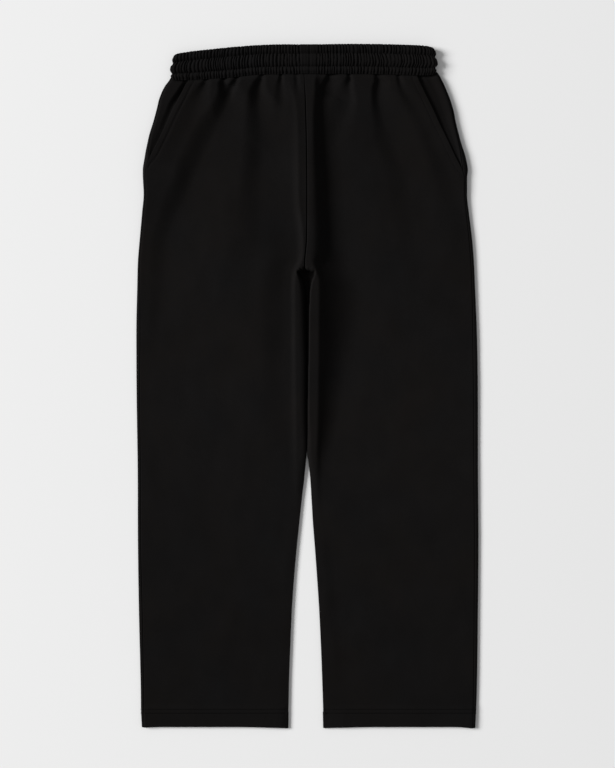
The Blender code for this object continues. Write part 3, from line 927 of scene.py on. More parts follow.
@dataclass(frozen=True)
class Jersey:
    """Brushed cotton jersey: fine wales, a soft matt face, slightly uneven dye, and painted shade in its
    colour. Sizes are in metres.
    """

    name: str = "brushed_black_jersey"
    knit: Knit = Knit.PLAIN
    colour: Colour = (0.0058, 0.0053, 0.0052)
    roughness: float = 0.92
    specular: float = 0.02
    sheen: float = 0.006
    sheen_roughness: float = 0.6
    wale: float = 0.00105
    course: float = 0.00085
    course_swing: float = 2.0
    course_height: float = 0.3
    grain_height: float = 1.2
    relief: float = 0.00012
    dye_size: float = 0.05
    dye_change: float = 0.18
    tone_size: float = 0.11
    tone_change: float = 0.09
    grain_size: float = 0.0019
    grain_change: float = 0.26
    # Painted shade: a slow wave along y darkens the colour towards the waist and the hem, and a tilt across x
    # darkens it towards −x and lightens it towards +x.
    along_length: float = 0.95
    shade_wave_middle: float = -0.03
    shade_wave_change: float = 0.07
    shade_tilt_rate: float = 0.12

    def make(self) -> Material:
        """The material.

        The knit's relief is |sin(πu/wale)| with a course wave sin(2πv/course + swing · cos(2πu/wale)) and
        the fine noise on it. The colour is the base colour times one slow and one fine noise of uneven dye,
        and painted shade: a slow wave along the garment that darkens it towards the waist and the hem, and a
        slight tilt across it that darkens it towards −x. Another slow noise makes it drift between warm and
        cool.

        Returns:
            The material, ready to use.
        """
        made = Shading(
            self.name,
            {
                "Roughness": self.roughness,
                "Specular IOR Level": self.specular,
                "Sheen Weight": self.sheen,
                "Sheen Roughness": self.sheen_roughness,
            },
        )
        place = made.add("TexCoord", {})["Object"]
        axes = made.add("SeparateXYZ", {0: place})
        fine = made.noise(place, self.grain_size, 2.0, 0.6)
        dye = made.plus(made.sway(made.noise(place, self.dye_size, 3.0, 0.55), self.dye_change), 1.0)
        grain = made.plus(made.sway(fine, self.grain_change), 1.0)
        # Painted shade: darker towards the waist and the hem, and towards −x.
        from_middle = made.math("SUBTRACT", axes["Y"], self.shade_wave_middle)
        wave = made.math("COSINE", made.times(from_middle, 2 * np.pi / self.along_length))
        along = made.plus(made.times(wave, self.shade_wave_change), 1.0)
        along = made.plus(along, made.times(axes["X"], self.shade_tilt_rate))
        dye_and_shade = made.scaled(self.colour, made.times(dye, grain, along))
        drift = made.sway(made.noise(place, self.tone_size, 2.0, 0.5), self.tone_change)
        warm, cool = made.plus(drift, 1.0), made.math("SUBTRACT", 1.0, drift)
        tone = made.add("CombineXYZ", {"X": warm, "Y": 1.0, "Z": cool})[0]
        colour = made.add("VectorMath", {0: dye_and_shade, 1: tone}, "MULTIPLY")[0]
        cloth = made.add("SeparateXYZ", {0: made.add("UVMap", {})["UV"]})
        made.tree.nodes["UV Map"].uv_map = "cloth"
        wale = made.math("ABSOLUTE", made.math("SINE", made.times(cloth["X"], np.pi / self.wale)))
        swing = made.math("COSINE", made.times(cloth["X"], 2 * np.pi / self.wale))
        course = made.times(cloth["Y"], 2 * np.pi / self.course)
        course = made.math("SINE", made.plus(course, made.times(swing, self.course_swing)))
        height = made.plus(wale, made.times(course, self.course_height))
        height = made.plus(height, made.times(fine, self.grain_height))
        return made.finish(colour, height, self.knit.value, self.relief)


@dataclass(frozen=True)
class Thread:
    """Black polyester sewing thread with a faint twist. Its sizes are in metres."""

    name: str = "black_thread"
    colour: Colour = (0.0017, 0.0016, 0.0017)
    roughness: float = 0.8
    specular: float = 0.015
    twist: float = 0.0005
    relief: float = 0.00005
    strength: float = 0.4
    grain_size: float = 0.00125
    grain_change: float = 0.15

    def make(self) -> Material:
        """The material: diagonal ribs of the height sin(2π(x + y + z)/twist), and slightly uneven colour.

        Returns:
            The material, ready to use.
        """
        made = Shading(self.name, {"Roughness": self.roughness, "Specular IOR Level": self.specular})
        place = made.add("TexCoord", {})["Object"]
        axes = made.add("SeparateXYZ", {0: place})
        along = made.plus(axes["X"], axes["Y"], axes["Z"])
        rib = made.math("SINE", made.times(along, 2 * np.pi / self.twist))
        amount = made.plus(made.sway(made.noise(place, self.grain_size, 2.0, 0.5), self.grain_change), 1.0)
        return made.finish(made.scaled(self.colour, amount), rib, self.strength, self.relief)


# ---- panels ----


@dataclass(frozen=True)
class Panels:
    """The four leg panels, each one cut from waist to hem. Their wall is in metres."""

    form: Form = Form()
    wall: float = 0.0007
    turn: float = 0.9
    turn_columns: int = 4
    allowance_columns: int = 6
    seam_gap: float = 0.3
    centre_gap: float = 0.12
    hem_turn: float = 1.85
    fold_hem_turn: float = 0.45
    corner_hem_turn: float = 0.32
    hem_corner: Ramp = Ramp(3, 12)
    hem_turn_rows: int = 6
    hem_rows: int = 16
    hem_fade: Ramp = Ramp(0, 6)
    hem_ripple: float = 0.04
    ripple_length: float = 9.5
    ripple_row: float = 1012.0
    ripple_in: Ramp = Ramp(1004, 6)
    hem_sags: tuple[Pair, Pair] = ((0.3, 1.6), (1.5, 1.5))
    sag_reaches: tuple[Ramp, Ramp] = (Ramp(0, 26), Ramp(0, 74))
    hem_low: float = 0.5
    hem_hang: Ramp = Ramp(1020, 15)
    stitch_rows: Pair = (1012.3, 1018.1)
    stitch_groove: float = 0.85
    groove_width: float = 1.1
    pocket_from: float = 47.5
    pocket_end: Pair = (172.0, 189.0)
    pocket_stitch: float = 9.0
    pocket_least: float = 1.3
    pocket_closing: Ramp = Ramp(-4, 26)
    pocket_grooves: Pair = (1.0, 0.35)
    pocket_groove_width: float = 1.3
    pocket_groove_end: Ramp = Ramp(14, 6)
    row_stops: tuple[float, ...] = (41.0, 46.0, 150.0, 326.0, 400.0, 700.0, 1000.0, 1010.6)
    row_steps: tuple[float, ...] = (1.25, 1.8, 3.6, 2.0, 5.0, 8.0, 1.5)
    hem_from: float = 1010.8
    hem_count: int = 21
    front_width: float = 250.0
    front_step: float = 3.1

    def rows(self) -> Array:
        """The rows, fine under the waistband, at the crotch and on the hem.

        Returns:
            Their drops, as a column, with one at each stitched row.
        """
        hem = np.linspace(self.hem_from, self.form.length - self.hem_turn, self.hem_count)
        stretches = zip(self.row_stops, self.row_stops[1:], self.row_steps)
        rows = np.concatenate([*(np.arange(*stretch) for stretch in stretches), hem])
        for stitch in self.stitch_rows:
            rows[np.argmin(abs(rows - stitch))] = stitch
        return rows[:, None]

    def front_shares(self) -> Array:
        """Shares across a front panel, closest near its outer and its inner edge.

        Returns:
            The shares, as a row.
        """
        outer = np.array([0.5, 0.6, 0.7, 0.8, 0.9, 1.0, 1.1, 1.2, 1.4, 1.7, 2.0, 2.3, 2.6])
        inner = np.concatenate([[0.35, 0.5, 0.6, 0.7, 0.8, 0.9, 1.0, 1.1], np.full(40, 1.3)])
        count = int((self.front_width - inner.sum() - outer.sum()) / self.front_step)
        return steps_to_shares(outer, np.full(count, self.front_step), inner[::-1])[None, :]

    def back_shares(self) -> Array:
        """Shares across the ground from the side fold to the inner edge, closest near both."""
        fold, edge, last = [0.8, 1.1, 1.5, 2.0, 2.8], [3.0, 2.2, 1.6, 1.1, 0.9], [0.45, 0.3, 0.2, 0.12]
        return steps_to_shares(fold, np.full(52, 3.9), edge, np.full(6, 0.62), last)[None, 1:]

    def groove(self, row: Array) -> Array:
        """How deep the two hem stitch rows press into the cloth, as a narrow bell at each."""
        return self.stitch_groove * sum(bell(row - stitch, self.groove_width) for stitch in self.stitch_rows)

    def hem_relief(self, side: Side, x: Array, row: Array) -> Array:
        """Height of the slight ripple at the hem less the stitch grooves, all fading at the inside leg.

        The ripple is sin(2πx/length + 0.8 sin(x/31) + 0.16 (row − ripple_row)), uneven and leaning.

        Args:
            side: The panel's side.
            x: Places across.
            row: Their rows.

        Returns:
            The height.
        """
        lean = 0.8 * np.sin(x / 31.0) + 0.16 * (row - self.ripple_row)
        ripple = self.hem_ripple * np.sin(2 * np.pi * x / self.ripple_length + lean)
        fade = self.hem_fade.up(self.form.opening_distance(side, "leg", x, row))
        return (ripple * self.ripple_in.up(row) - self.groove(row)) * fade

    def hem_fall(self, side: Side, x: Array, row: Array) -> Array:
        """How far the hem's edge hangs below its row.

        Each corner, where the hem is thin, drops by the difference of the two turns. The hem also sags
        towards the side fold and towards the inside leg, by the side's two sags over their reaches.

        Args:
            side: The panel's side.
            x: Places across the whole panel.
            row: Its rows.

        Returns:
            The extra drop, nothing above the stitching.
        """
        low, high = x - x.min(axis=1, keepdims=True), x.max(axis=1, keepdims=True) - x
        corner = (self.hem_turn - self.fold_hem_turn) * self.hem_corner.down(np.minimum(low, high))
        sags = zip(side.pick(self.hem_sags), self.sag_reaches, side.pick(((low, high), (high, low))))
        sag = sum(size * reach.down(from_edge) for size, reach, from_edge in sags)
        return (corner + sag + self.hem_low) * self.hem_hang.up(row)

    def inset(self, side: Side, gap: float) -> float:
        """How far in from a seam the cloth's edge lies, so that its turn leaves half the gap."""
        return side.value * (self.turn + gap / 2)

    def inner_inset(self, side: Side, row: Array, gap: float) -> Array:
        """The inset at the inner edge, which ends at the crotch."""
        return np.where(row > self.form.crotch, 0.0, self.inset(side, gap))

    def edge_ease(self, side: Side, x: Array, row: Array) -> Array:
        """How far a panel stops short of the meeting height at the leg's inner edge, for its turn and gap."""
        edge = rounded(self.form.opening_distance(side, "leg", x, row), self.form.edge_reach)
        return (self.turn + self.seam_gap / 2) * (1 - edge)

    def placed(self, side: Side, x: Array, row: Array, height: Array) -> Array:
        """Points in metres of a panel's face, with its hem hanging."""
        return self.form.place(x, self.form.slanted(x, row) + self.hem_fall(side, x, row), height)

    def front_points(self, side: Side) -> Array:
        """Face of a front panel: its place across is outer + (inner − outer) · share.

        Args:
            side: The panel's side.

        Returns:
            The points, in metres.
        """
        row = self.rows()
        outer = self.form.line(side, "front", row) - self.inset(side, self.seam_gap)
        inner = self.form.inner_edge(side, row) + self.inner_inset(side, row, self.centre_gap)
        x = outer + (inner - outer) * self.front_shares()
        height = self.form.top(side, x, row) + self.edge_ease(side, x, row) + self.hem_relief(side, x, row)
        return self.placed(side, x, row, height - self.pocket_groove(side, x, row))

    def back_points(self, side: Side) -> Array:
        """Face of a back panel: from its seam on top, round the side fold and over the ground inwards.

        On top it is at F − R (1 − cos φ) across, with F the fold, R its reach and φ evenly down to 0. Under
        the fold it is at the same with the floor's own reach, for φ up to a quarter turn.

        Args:
            side: The panel's side.

        Returns:
            The points, in metres.
        """
        form, row = self.form, self.rows()
        fold = form.line(side, "fold", row)
        inset = side.value * (fold - form.line(side, "seam", row) - self.inset(side, self.seam_gap))
        start = np.arccos(np.clip(1 - np.maximum(inset, 0.02) / form.fold_reach, -1, 1))
        over = start * (1 - np.linspace(0, 1, 11)[None, :-1])
        top_x = fold - side.value * form.fold_reach * (1 - np.cos(over))
        turned = (np.linspace(0, 1, 9) * np.pi / 2)[None, :] + 0 * row
        turned_x = fold - side.value * form.floor_reach * (1 - np.cos(turned))
        ground = fold - side.value * form.floor_reach
        inner = form.inner_edge(side, row) + form.back_lag(row) + self.inner_inset(side, row, self.seam_gap)
        flat_x = ground + (inner - ground) * self.back_shares()
        flat = form.under(side, flat_x, row) - self.edge_ease(side, flat_x - form.back_lag(row), row)
        heights = (
            form.top(side, top_x, row) - self.groove(row),
            form.meeting * (1 - np.sin(turned)),
            np.maximum(flat, 0.0) + self.groove(row),
        )
        x = np.concatenate([top_x, turned_x, flat_x], axis=1)
        return self.placed(side, x, row, np.concatenate(heights, axis=1))

    def face(self, side: Side, layer: Layer) -> tuple[Array, int]:
        """A panel's face and its outward side, as for outward()."""
        points = self.front_points(side) if layer is Layer.FRONT else self.back_points(side)
        return points, side.value * layer.value

    def pocket_line(self, side: Side, row: Array) -> Array:
        """x of the pocket's topstitching, which runs beside the mouth and ends on the side seam."""
        inset = self.pocket_stitch * self.pocket_closing.down(row - side.pick(self.pocket_end))
        return self.form.line(side, "front", row) - side.value * (inset + self.pocket_least)

    def pocket_groove(self, side: Side, x: Array, row: Array) -> Array:
        """Depth of the groove that the pocket's topstitching presses, a bell across it.

        Args:
            side: The panel's side.
            x: Places across.
            row: Their rows.

        Returns:
            The depth.
        """
        pressed = bell(x - self.pocket_line(side, row), self.pocket_groove_width)
        end = self.pocket_groove_end.down(row - side.pick(self.pocket_end))
        return side.pick(self.pocket_grooves) * pressed * end

    def hemmed(self, points: Array, facing: int) -> Array:
        """A panel's grid with its side edges turned under and its hem turned up.

        Args:
            points: The face.
            facing: Its outward side, as for outward().

        Returns:
            The whole grid.
        """
        out = outward(points, facing)
        kept, first = points.shape[1], self.allowance_columns + self.turn_columns
        for _ in range(2):
            points, out = turn_edge(points, out, self.turn * MM, self.turn_columns, self.allowance_columns)
            points, out = points[:, ::-1], out[:, ::-1]
        foot = points[-1, first : first + kept, 0]
        from_edge = np.minimum(foot - foot.min(), foot.max() - foot) / MM
        radius = np.full(points.shape[1], self.corner_hem_turn)
        rise = (self.hem_turn - self.fold_hem_turn) * self.hem_corner.up(from_edge)
        radius[first : first + kept] = self.fold_hem_turn + rise
        points, out = points.transpose(1, 0, 2), out.transpose(1, 0, 2)
        return turn_edge(points, out, radius * MM, self.hem_turn_rows, self.hem_rows)[0].transpose(1, 0, 2)

    def build(self, side: Side, layer: Layer, material: Material) -> Piece:
        """One finished panel.

        Args:
            side: Which half.
            layer: Front or back.
            material: Its finish.

        Returns:
            The piece.
        """
        points, facing = self.face(side, layer)
        name = f"{side.word}_{layer.word}_leg"
        return cloth_object(name, self.hemmed(points, facing), facing, self.wall, material)

    def hem_paths(self) -> list[tuple[Array, Array]]:
        """The two stitched rows round each leg, on the front and under the back.

        Returns:
            Each row's points in metres and its outward directions.
        """
        rows, paths = self.rows()[:, 0], []
        for side in Side:
            for layer in (Layer.FRONT, Layer.BACK):
                points, facing = self.face(side, layer)
                out = outward(points, facing)
                picks = [int(np.argmin(abs(rows - stitch))) for stitch in self.stitch_rows]
                paths += [(points[k], out[k]) for k in picks]
        return paths

    def pocket_paths(self) -> list[tuple[Array, Array]]:
        """The topstitched row beside each pocket's mouth.

        Returns:
            Each row's points in metres and its outward directions.
        """
        paths = []
        for side in Side:
            row = np.arange(self.pocket_from, side.pick(self.pocket_end) + 16.0, 0.8)[:, None]
            x = self.pocket_line(side, row) + np.array([[-0.3, 0.0, 0.3]])
            height = self.form.top(side, x, row) - self.pocket_groove(side, x, row)
            points = self.form.place(x, self.form.slanted(x, row), height)
            paths.append((points[:, 1], outward(points, -1)[:, 1]))
        return paths


@dataclass(frozen=True)
class Facing:
    """The cloth that shows in a pocket's mouth, from the side seam to under the front."""

    panels: Panels = Panels()
    creases: tuple[Crease, ...] = FACING_CREASES
    sinks: Pair = (2.9, 3.9)
    steepness: Pair = (1.0, 1.9)
    shallower: float = 0.45
    shallow_end: Ramp = Ramp(96, 56)
    least: Pair = (3.2, 0.6)
    first_row: float = 42.0
    row_step: float = 1.8
    underlap: float = 20.0
    clearance: float = 0.9
    turn: float = 0.6
    turn_columns: int = 4
    wall: float = 0.0007

    def face(self, side: Side) -> Array:
        """Its face: the upper cloth's height less its creases and a sink that comes in towards the mouth.

        Args:
            side: Which half.

        Returns:
            The points, in metres.
        """
        form = self.panels.form
        row = np.arange(self.first_row, side.pick(self.panels.pocket_end) + 2.0, self.row_step)[:, None]
        share = np.concatenate([[0, 0.01, 0.025, 0.045], np.linspace(0.07, 1, 44)])[None, :]
        seam = form.line(side, "seam", row) - side.value * self.clearance
        mouth = form.line(side, "front", row)
        x = seam + (mouth - side.value * self.underlap - seam) * share
        toward = np.clip((x - seam) / np.minimum(side.value * (mouth - seam), -1.0) / side.value, 0, 1.2)
        sink = side.pick(self.sinks) * (1 - self.shallower * self.shallow_end.up(row))
        height = form.top(side, x, row) - sink * smoothstep(toward * side.pick(self.steepness))
        drop = form.slanted(x, row)
        for line in self.creases:
            height = height - line.depth(x, drop)
        return form.place(x, drop, soft_floor(height, *self.least))

    def build(self, side: Side, material: Material) -> Piece:
        """One finished facing, with its seam edge turned under.

        Args:
            side: Which half.
            material: Its finish.

        Returns:
            The piece.
        """
        points = self.face(side)[:, ::-1]
        out = outward(points, -side.value)
        points, _ = turn_edge(points, out, self.turn * MM, self.turn_columns, self.turn_columns)
        return cloth_object(f"{side.word}_pocket_facing", points[:, ::-1], side.value, self.wall, material)


# ---- waistband ----


@dataclass(frozen=True)
class Waistband:
    """The elastic casing: a flattened loop with two stitched rows and uneven gathers between them."""

    form: Form = Form()
    ends: Table = BAND_ENDS
    faces: Table = BAND_FACES
    stack: float = 13.0
    wall: float = 6.0
    least_wall: float = 0.4
    join: float = 3.0
    join_groove: Pair = (1.1, 0.9)
    end_turn: float = 20.0
    end_share: float = 0.35
    gather: float = 3.0
    crinkle: Waves = Waves(0.22, 17, 14, (3.5, 9.0), 1.6)
    crinkle_depth: float = 45.0
    crinkle_rate: float = 6.0
    gather_seed: int = 41
    gather_count: int = 220
    lean_count: int = 34
    pitch: Pair = (2.9, 6.3)
    lean: float = 5.0
    main_fold: Pair = (0.45, 1.35)
    small_fold: Pair = (0.0, 0.35)
    smooth_patch: tuple[Ramp, Ramp] = (Ramp(-13.0, 5), Ramp(11.5, 5))
    smoothing: float = 0.88
    top_round: float = 2.0
    bottom_round: float = 1.7
    stitch_shares: Pair = (0.283, 0.762)
    stitch_hold: Ramp = Ramp(-0.03, 0.06)
    channel_middles: tuple[float, ...] = (0.13, 0.5, 0.86)
    fold_powers: Pair = (0.55, 0.8)
    top_runs: Pair = (300.0, 560.0)
    edge_notches: Pair = (0.5, 0.8)

    def shares(self) -> Array:
        """Shares down the face, closer at the stitched rows.

        Returns:
            The shares.
        """
        low, high = [0.25, 0.27, 0.283, 0.296, 0.316], [0.722, 0.745, 0.762, 0.779, 0.798]
        middle = np.linspace(0.345, 0.69, 11)
        return np.concatenate([np.linspace(0, 0.22, 7), low, middle, high, np.linspace(0.822, 1.0, 7)])

    def loop(self, share: Array) -> tuple[Array, Array, Array]:
        """The mid-wall line round the loop: from its join, round the left end, underneath, round the right.

        Each stretch goes evenly from its start to its end, and evenly through its angles and its length.

        Args:
            share: Shares down the band, as a column.

        Returns:
            x of the centre of curvature, angle from the side direction, and running length.
        """
        left = self.ends.at("left", share) - self.stack / 2
        right = self.ends.at("right", share) + self.stack / 2
        up, down = np.pi / 2, -np.pi / 2
        stretches = (  # start, end, first angle, last angle, length, steps, and the points that are its own
            (self.join, left, up, up, 187, 249, slice(None)),
            (left, left, up, down, self.end_turn, 20, slice(1, -1)),
            (left, right, down, down, 392, 356, slice(None)),
            (right, right, down, up, self.end_turn, 20, slice(1, -1)),
            (right, self.join, up, up, 203, 270, slice(-1)),
        )
        centres, angles, lengths, run = [], [], [], 0.0
        for start, end, first, last, length, count, kept in stretches:
            t = np.linspace(0, 1, count + 1)[kept][None, :]
            centres.append(start + (end - start) * t)
            angles.append(first + (last - first) * t)
            lengths.append(run + length * t)
            run += length
        return tuple(np.concatenate(part, axis=1) for part in (centres, angles, lengths))

    def gathers(self, along: Array, share: Array, x: Array) -> Array:
        """How far the gathers cut into the face, from 0 on a crest to about 1 in a valley.

        Each channel has its own seeded, uneven pitch. Between valleys k and k + 1 the profile is 1 −
        |sin πφ|^power, with φ the running count of gathers, so crests are round and valleys narrow, with a
        smaller, weaker fold between. It leans a little down the band, and dies away over the plain patch at
        the join.

        Args:
            along: Length round the loop.
            share: Share down the band.
            x: Place across, for the plain patch.

        Returns:
            The cut, in the broadcast shape.
        """
        chance = np.random.default_rng(self.gather_seed)
        past_low, past_high = (self.stitch_hold.up(share - stitch) for stitch in self.stitch_shares)
        channels = (1 - past_low, past_low * (1 - past_high), past_high)
        total = np.zeros(np.broadcast(along, share).shape)
        for channel, middle in zip(channels, self.channel_middles):
            valleys = np.cumsum(chance.uniform(*self.pitch, self.gather_count)) - 12
            counts = np.arange(len(valleys), dtype=float)
            leans = chance.uniform(-self.lean, self.lean, self.lean_count)
            lean = np.interp(along, np.linspace(-20, 860, self.lean_count), leans)
            shifted = along + lean * (share - middle) + 0.35 * np.sin(along * 0.9 + 9 * share)
            phase = np.interp(shifted, valleys, counts)
            strength = np.interp(phase, counts, chance.uniform(*self.main_fold, len(counts)))
            small = np.interp(phase, counts, chance.uniform(*self.small_fold, len(counts)))
            main_power, small_power = self.fold_powers
            folds = strength * (1 - abs(np.sin(np.pi * phase)) ** main_power)
            folds = folds + small * (1 - abs(np.cos(np.pi * phase + 0.5)) ** small_power)
            total = total + channel * folds
        first, last = self.smooth_patch
        on_top = (along < self.top_runs[0]) | (along > self.top_runs[1])
        return total * (1 - self.smoothing * first.up(x) * last.down(x) * on_top)

    def section(self) -> tuple[Array, Array]:
        """The tube at every place round the loop.

        The face is the stack less its inset, which is shallower round the ends, and its gathers. Half
        ellipses close it over the top and under the bottom to the inner wall.

        Returns:
            The points in metres, sections by loop, and the face's part of them.
        """
        face, quarter = self.shares(), np.array([0.2, 0.4, 0.6, 0.8])
        inner = np.linspace(0.93, 0.07, 6)
        share = np.concatenate([face, np.ones(4), inner, np.zeros(4)])[:, None]
        bend = np.concatenate([0 * face, quarter, np.ones(6), quarter[::-1]])[:, None]
        sizes = [len(face), len(quarter), len(inner), len(quarter)]
        on_face, on_bottom, on_wall, on_top = (np.repeat(range(4), sizes)[:, None] == k for k in range(4))
        centre, angle, along = self.loop(share)
        side = np.where(centre > self.join, 1.0, -1.0)
        middle, half = (self.stack - self.wall) / 2, self.wall / 2
        rough_x = centre + side * middle * np.cos(angle)
        cut = self.gathers(along, share, rough_x)
        depth, width = self.join_groove
        groove = depth * np.exp(-(abs(rough_x - self.join) / width)) * (np.sin(angle) > 0.99)
        inset = self.faces.at("inset", share) * (1 - (1 - self.end_share) * np.cos(angle) ** 2)
        gathered = self.gather * self.faces.at("gather", share) * cut
        crinkle = self.crinkle.at(along, self.crinkle_depth * share) * np.minimum(self.crinkle_rate * cut, 1)
        outer = np.maximum(half - inset - gathered - groove + crinkle, self.least_wall - half)
        turned = (outer - half) / 2 + (outer + half) / 2 * np.cos(np.pi * bend)
        offset = middle + np.where(on_face, outer, np.where(on_wall, -half, turned))
        x = centre + side * offset * np.cos(angle)
        high, low = self.edge_notches
        top = self.form.band_edges.at("top", x) + high * cut * (0.3 + 0.7 * (share < 0.5))
        bottom = self.form.band_edges.at("bottom", x) - low * cut * (share > 0.5)
        drop = top + self.top_round + share * (bottom - top - self.top_round - self.bottom_round)
        tucked = 1 - np.sin(np.pi * bend)
        drop = np.where(on_bottom, bottom - self.bottom_round * tucked, drop)
        drop = np.where(on_top, top + self.top_round * tucked, drop)
        points = self.form.place(x, drop, self.stack / 2 + offset * np.sin(angle))
        return points, points[: len(face)]

    def build(self, material: Material) -> tuple[Piece, list[tuple[Array, Array]]]:
        """The finished waistband, closed both ways.

        Args:
            material: Its finish.

        Returns:
            The piece, and its two stitched rows' points in metres with their outward directions.
        """
        points, face = self.section()
        across, down = lengths_along(face, 1).mean(axis=0), lengths_along(points, 0).mean(axis=1)
        uv = np.stack(np.broadcast_arrays(across[None, :], down[:, None]), axis=-1)
        faces = quad_faces(*points.shape[:2], joined="rows columns")
        piece = mesh_object("elastic_waistband", points, faces.tolist(), material, uv)
        out = outward(face, 1)
        picks = [int(np.argmin(abs(self.shares() - share))) for share in self.stitch_shares]
        return piece, [(face[k], out[k]) for k in picks]


# ---- stitching ----


@dataclass(frozen=True)
class Stitching:
    """Rows of lockstitches, each one a short plump capsule pressed into the cloth."""

    length: float = 2.5
    pitch: float = 3.1
    width: float = 0.5
    height: float = 0.36
    lift: float = 0.2
    lowest: float = 0.02

    def template(self) -> Array:
        """One stitch's rings: six-sided ellipses whose size follows a half circle along it.

        Returns:
            Rings by corners by three, in metres.
        """
        along = np.array([-0.5, -0.42, -0.2, 0.2, 0.42, 0.5])
        size = np.array([0.12, 0.72, 1.0, 1.0, 0.72, 0.12])
        angle = np.arange(6) * np.pi / 3
        ring = np.stack([np.cos(angle) * self.width / 2, np.sin(angle) * self.height / 2], axis=-1)
        body = np.zeros((6, 6, 3))
        body[..., 0] = along[:, None] * self.length
        body[..., 1:] = ring[None] * size[:, None, None]
        return body * MM

    def along(self, points: Array, out: Array) -> Array:
        """The stitches' points along one path, given with its outward directions.

        At each stitch's middle the template's axes are turned to the path's direction A, to O × A and to
        the outward direction O made square to A, and the stitch is lifted by a share of its height.

        Args:
            points: The path, in metres.
            out: The cloth's outward directions there.

        Returns:
            Stitches by rings by corners by three.
        """
        run = lengths_along(points, 0)
        count = max(int(run[-1] / (self.pitch * MM)), 1)
        middle = (np.arange(count) + 0.5) * run[-1] / count
        half = self.length * MM / 2
        before, at, after, up = (
            np.stack([np.interp(middle + shift, run, values[:, k]) for k in range(3)], -1)
            for shift, values in ((-half, points), (0.0, points), (half, points), (0.0, out))
        )
        ahead = unit(after - before)
        up = unit(up - (up * ahead).sum(-1, keepdims=True) * ahead)
        axes = np.stack([ahead, np.cross(up, ahead), up], axis=1)
        place = at + up * self.height * MM * self.lift
        return place[:, None, None, :] + np.einsum("abk,nkc->nabc", self.template(), axes)

    def sew(self, name: str, paths: Sequence[tuple[Array, Array]], material: Material) -> Piece:
        """One object with the stitches along some paths, none of them below the ground.

        Args:
            name: The piece's name.
            paths: For each, its points in metres and the cloth's outward directions there.
            material: The thread.

        Returns:
            The object.
        """
        stitches = np.concatenate([self.along(points, out) for points, out in paths])
        stitches[..., 2] = np.maximum(stitches[..., 2], self.lowest * MM)
        quads = np.roll(quad_faces(6, 6, joined="columns"), -1, axis=1)
        caps = np.array([range(6), range(35, 29, -1)])
        base = (np.arange(len(stitches)) * 36)[:, None, None]
        faces = (quads + base).reshape(-1, 4).tolist() + (caps + base).reshape(-1, 6).tolist()
        return mesh_object(name, stitches, faces, material)


# ---- stage ----


@dataclass(frozen=True)
class Studio:
    """A pale floor, one broad low light from the left, an even sky and a camera above, in metres."""

    pale: Colour = (0.80, 0.80, 0.80)
    floor_half: float = 9.0
    floor_drop: float = 0.0003
    sky: float = 0.42
    light_distance: float = 20.0
    light_elevation: float = 28.5
    light_azimuth: float = 12.0
    light_size: Pair = (8.8, 7.6)
    light_power: float = 6080.0
    camera_place: Colour = (-0.0002, 0.0023, 3.0)
    camera_reach: float = 100.0
    lens: float = 92.3
    sensor: float = 36.0

    def floor(self) -> Piece:
        """The floor, just under the garment.

        Returns:
            The floor.
        """
        low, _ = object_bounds()
        corners = self.floor_half * np.array([[-1, -1], [1, -1], [1, 1], [-1, 1]])
        points = np.column_stack([corners, np.full(4, low[2] - self.floor_drop)])
        looks = {"Base Color": (*self.pale, 1.0), "Roughness": 1.0, "Specular IOR Level": 0.0}
        return mesh_object("studio_floor", points, [[0, 1, 2, 3]], Shading("studio_floor", looks).material)

    def light(self) -> None:
        """The broad light, turned to face the garment."""
        lamp = bpy.data.lights.new("window_light", "AREA")
        lamp.shape = "RECTANGLE"
        lamp.size, lamp.size_y = self.light_size
        lamp.energy = self.light_power
        rise, turn = np.radians(self.light_elevation), np.radians(self.light_azimuth)
        away = np.array([-np.cos(rise) * np.cos(turn), np.cos(rise) * np.sin(turn), np.sin(rise)])
        holder = link_object("window_light", lamp)
        holder.location = away * self.light_distance
        holder.rotation_euler = (np.pi / 2 - rise, 0.0, np.arctan2(away[1], away[0]) + np.pi / 2)

    def even_sky(self) -> None:
        """A sky that is pale to the camera and lights evenly."""
        world = bpy.data.worlds.new("studio_sky")
        world.use_nodes = True
        nodes, links = world.node_tree.nodes, world.node_tree.links
        nodes.clear()
        path, light, seen, mix, output = (
            nodes.new(f"ShaderNode{kind}")
            for kind in ("LightPath", "Background", "Background", "MixShader", "OutputWorld")
        )
        light.inputs["Strength"].default_value = self.sky
        seen.inputs["Color"].default_value = (*self.pale, 1.0)
        for slot, source in enumerate((path.outputs["Is Camera Ray"], light.outputs[0], seen.outputs[0])):
            links.new(source, mix.inputs[slot])
        links.new(mix.outputs[0], output.inputs["Surface"])
        bpy.context.scene.world = world

    def camera(self) -> None:
        """The camera, looking straight down with the waist at the top."""
        data = bpy.data.cameras.new("overhead")
        data.sensor_width = self.sensor
        data.lens = self.lens
        data.clip_end = self.camera_reach
        holder = link_object("overhead", data)
        holder.location = self.camera_place
        bpy.context.scene.camera = holder


# ---- garment ----


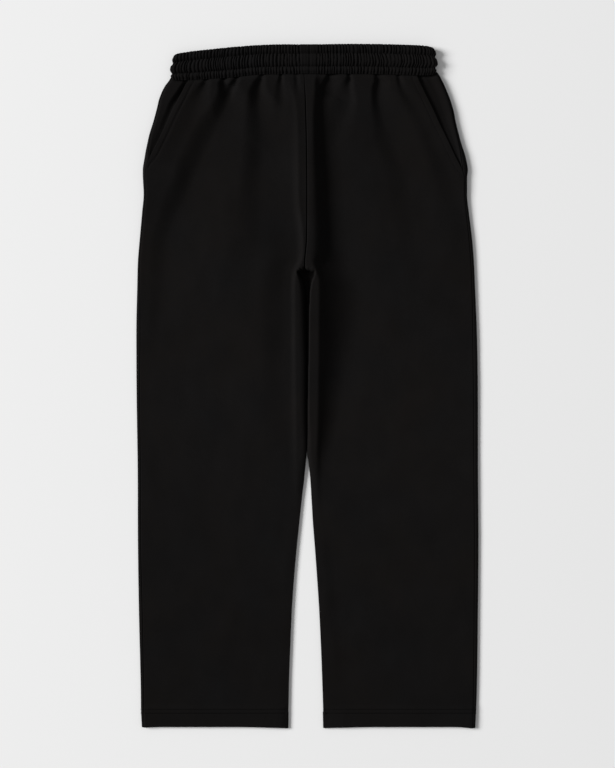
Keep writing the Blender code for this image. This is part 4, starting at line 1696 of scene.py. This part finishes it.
@dataclass(frozen=True)
class Garment:
    """Builds every piece and seats it on the root body. Its cuts are in metres."""

    panels: Panels = Panels()
    facing: Facing = Facing()
    band: Waistband = Waistband()
    jersey: Jersey = Jersey()
    # The casing's colour is a slightly cooler, darker copy of the jersey's; its darkening is painted shade of
    # the gathers.
    casing: Jersey = Jersey("gathered_black_jersey", Knit.CRUSHED, (0.0053, 0.00487, 0.00485))
    thread: Thread = Thread()
    band_stitches: Stitching = Stitching(width=0.8, height=0.5)
    hem_stitches: Stitching = Stitching(length=1.9, pitch=3.55, width=1.2, height=0.56)
    pocket_stitches: Stitching = Stitching()
    front_cut: Pair = (0.31, 1.07)
    back_cut: Pair = (0.33, 1.07)
    band_cut: Pair = (1.08, 0.047)
    facing_cut: Pair = (0.050, 0.148)

    def seat(self, piece: Piece, slot: str, *nodes: str) -> Piece:
        """Rides a piece on the root, and replaces the nodes that it stands for.

        Args:
            piece: The piece.
            slot: Its slot; not used.
            nodes: The nodes.

        Returns:
            The piece.
        """
        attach(piece, "root")
        if nodes:
            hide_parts(*nodes)
        LOG.info("%s: %d faces", piece.name, len(piece.data.polygons))
        return piece

    def build(self) -> None:
        """Every piece, in order, and then, for each front leg, the pieces that lie under it and are sewn to
        it, which go no further.
        """
        jersey, casing, thread = self.jersey.make(), self.casing.make(), self.thread.make()
        legs, facings = {}, {}
        for side in Side:
            for layer in Layer:
                leg = self.panels.build(side, layer, jersey)
                legs[layer, side] = self.seat(leg, "black_jersey", f"{layer.word}_{side.word}")
        for side in Side:
            facing = self.facing.build(side, jersey)
            facings[side] = self.seat(facing, "black_jersey", f"pocket_facing_{side.word}")
        waistband, paths = self.band.build(casing)
        self.seat(waistband, "black_jersey_casing", "waistband")
        band_rows = self.band_stitches.sew("waistband_stitching", paths, thread)
        hem_rows = self.hem_stitches.sew("hem_stitching", self.panels.hem_paths(), thread)
        pocket_rows = self.pocket_stitches.sew("pocket_stitching", self.panels.pocket_paths(), thread)
        self.seat(band_rows, "black_jersey_casing")
        self.seat(hem_rows, "black_jersey")
        self.seat(pocket_rows, "black_jersey")
        for (layer, side), leg in legs.items():
            if layer is Layer.BACK:
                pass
            else:
                below, sewn = [legs[Layer.BACK, side]], [side.pick((pocket_rows, hem_rows))]


def main() -> None:
    """Builds the studio and the garment, in order, and reports each piece."""
    logging.basicConfig(level=logging.INFO, format="%(name)s: %(message)s")
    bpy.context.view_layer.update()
    studio = Studio()
    studio.floor()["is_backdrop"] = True
    studio.light()
    studio.even_sky()
    studio.camera()
    bpy.context.scene.view_settings.view_transform = "Standard"
    Garment().build()


if __name__ == "__main__":
    main()
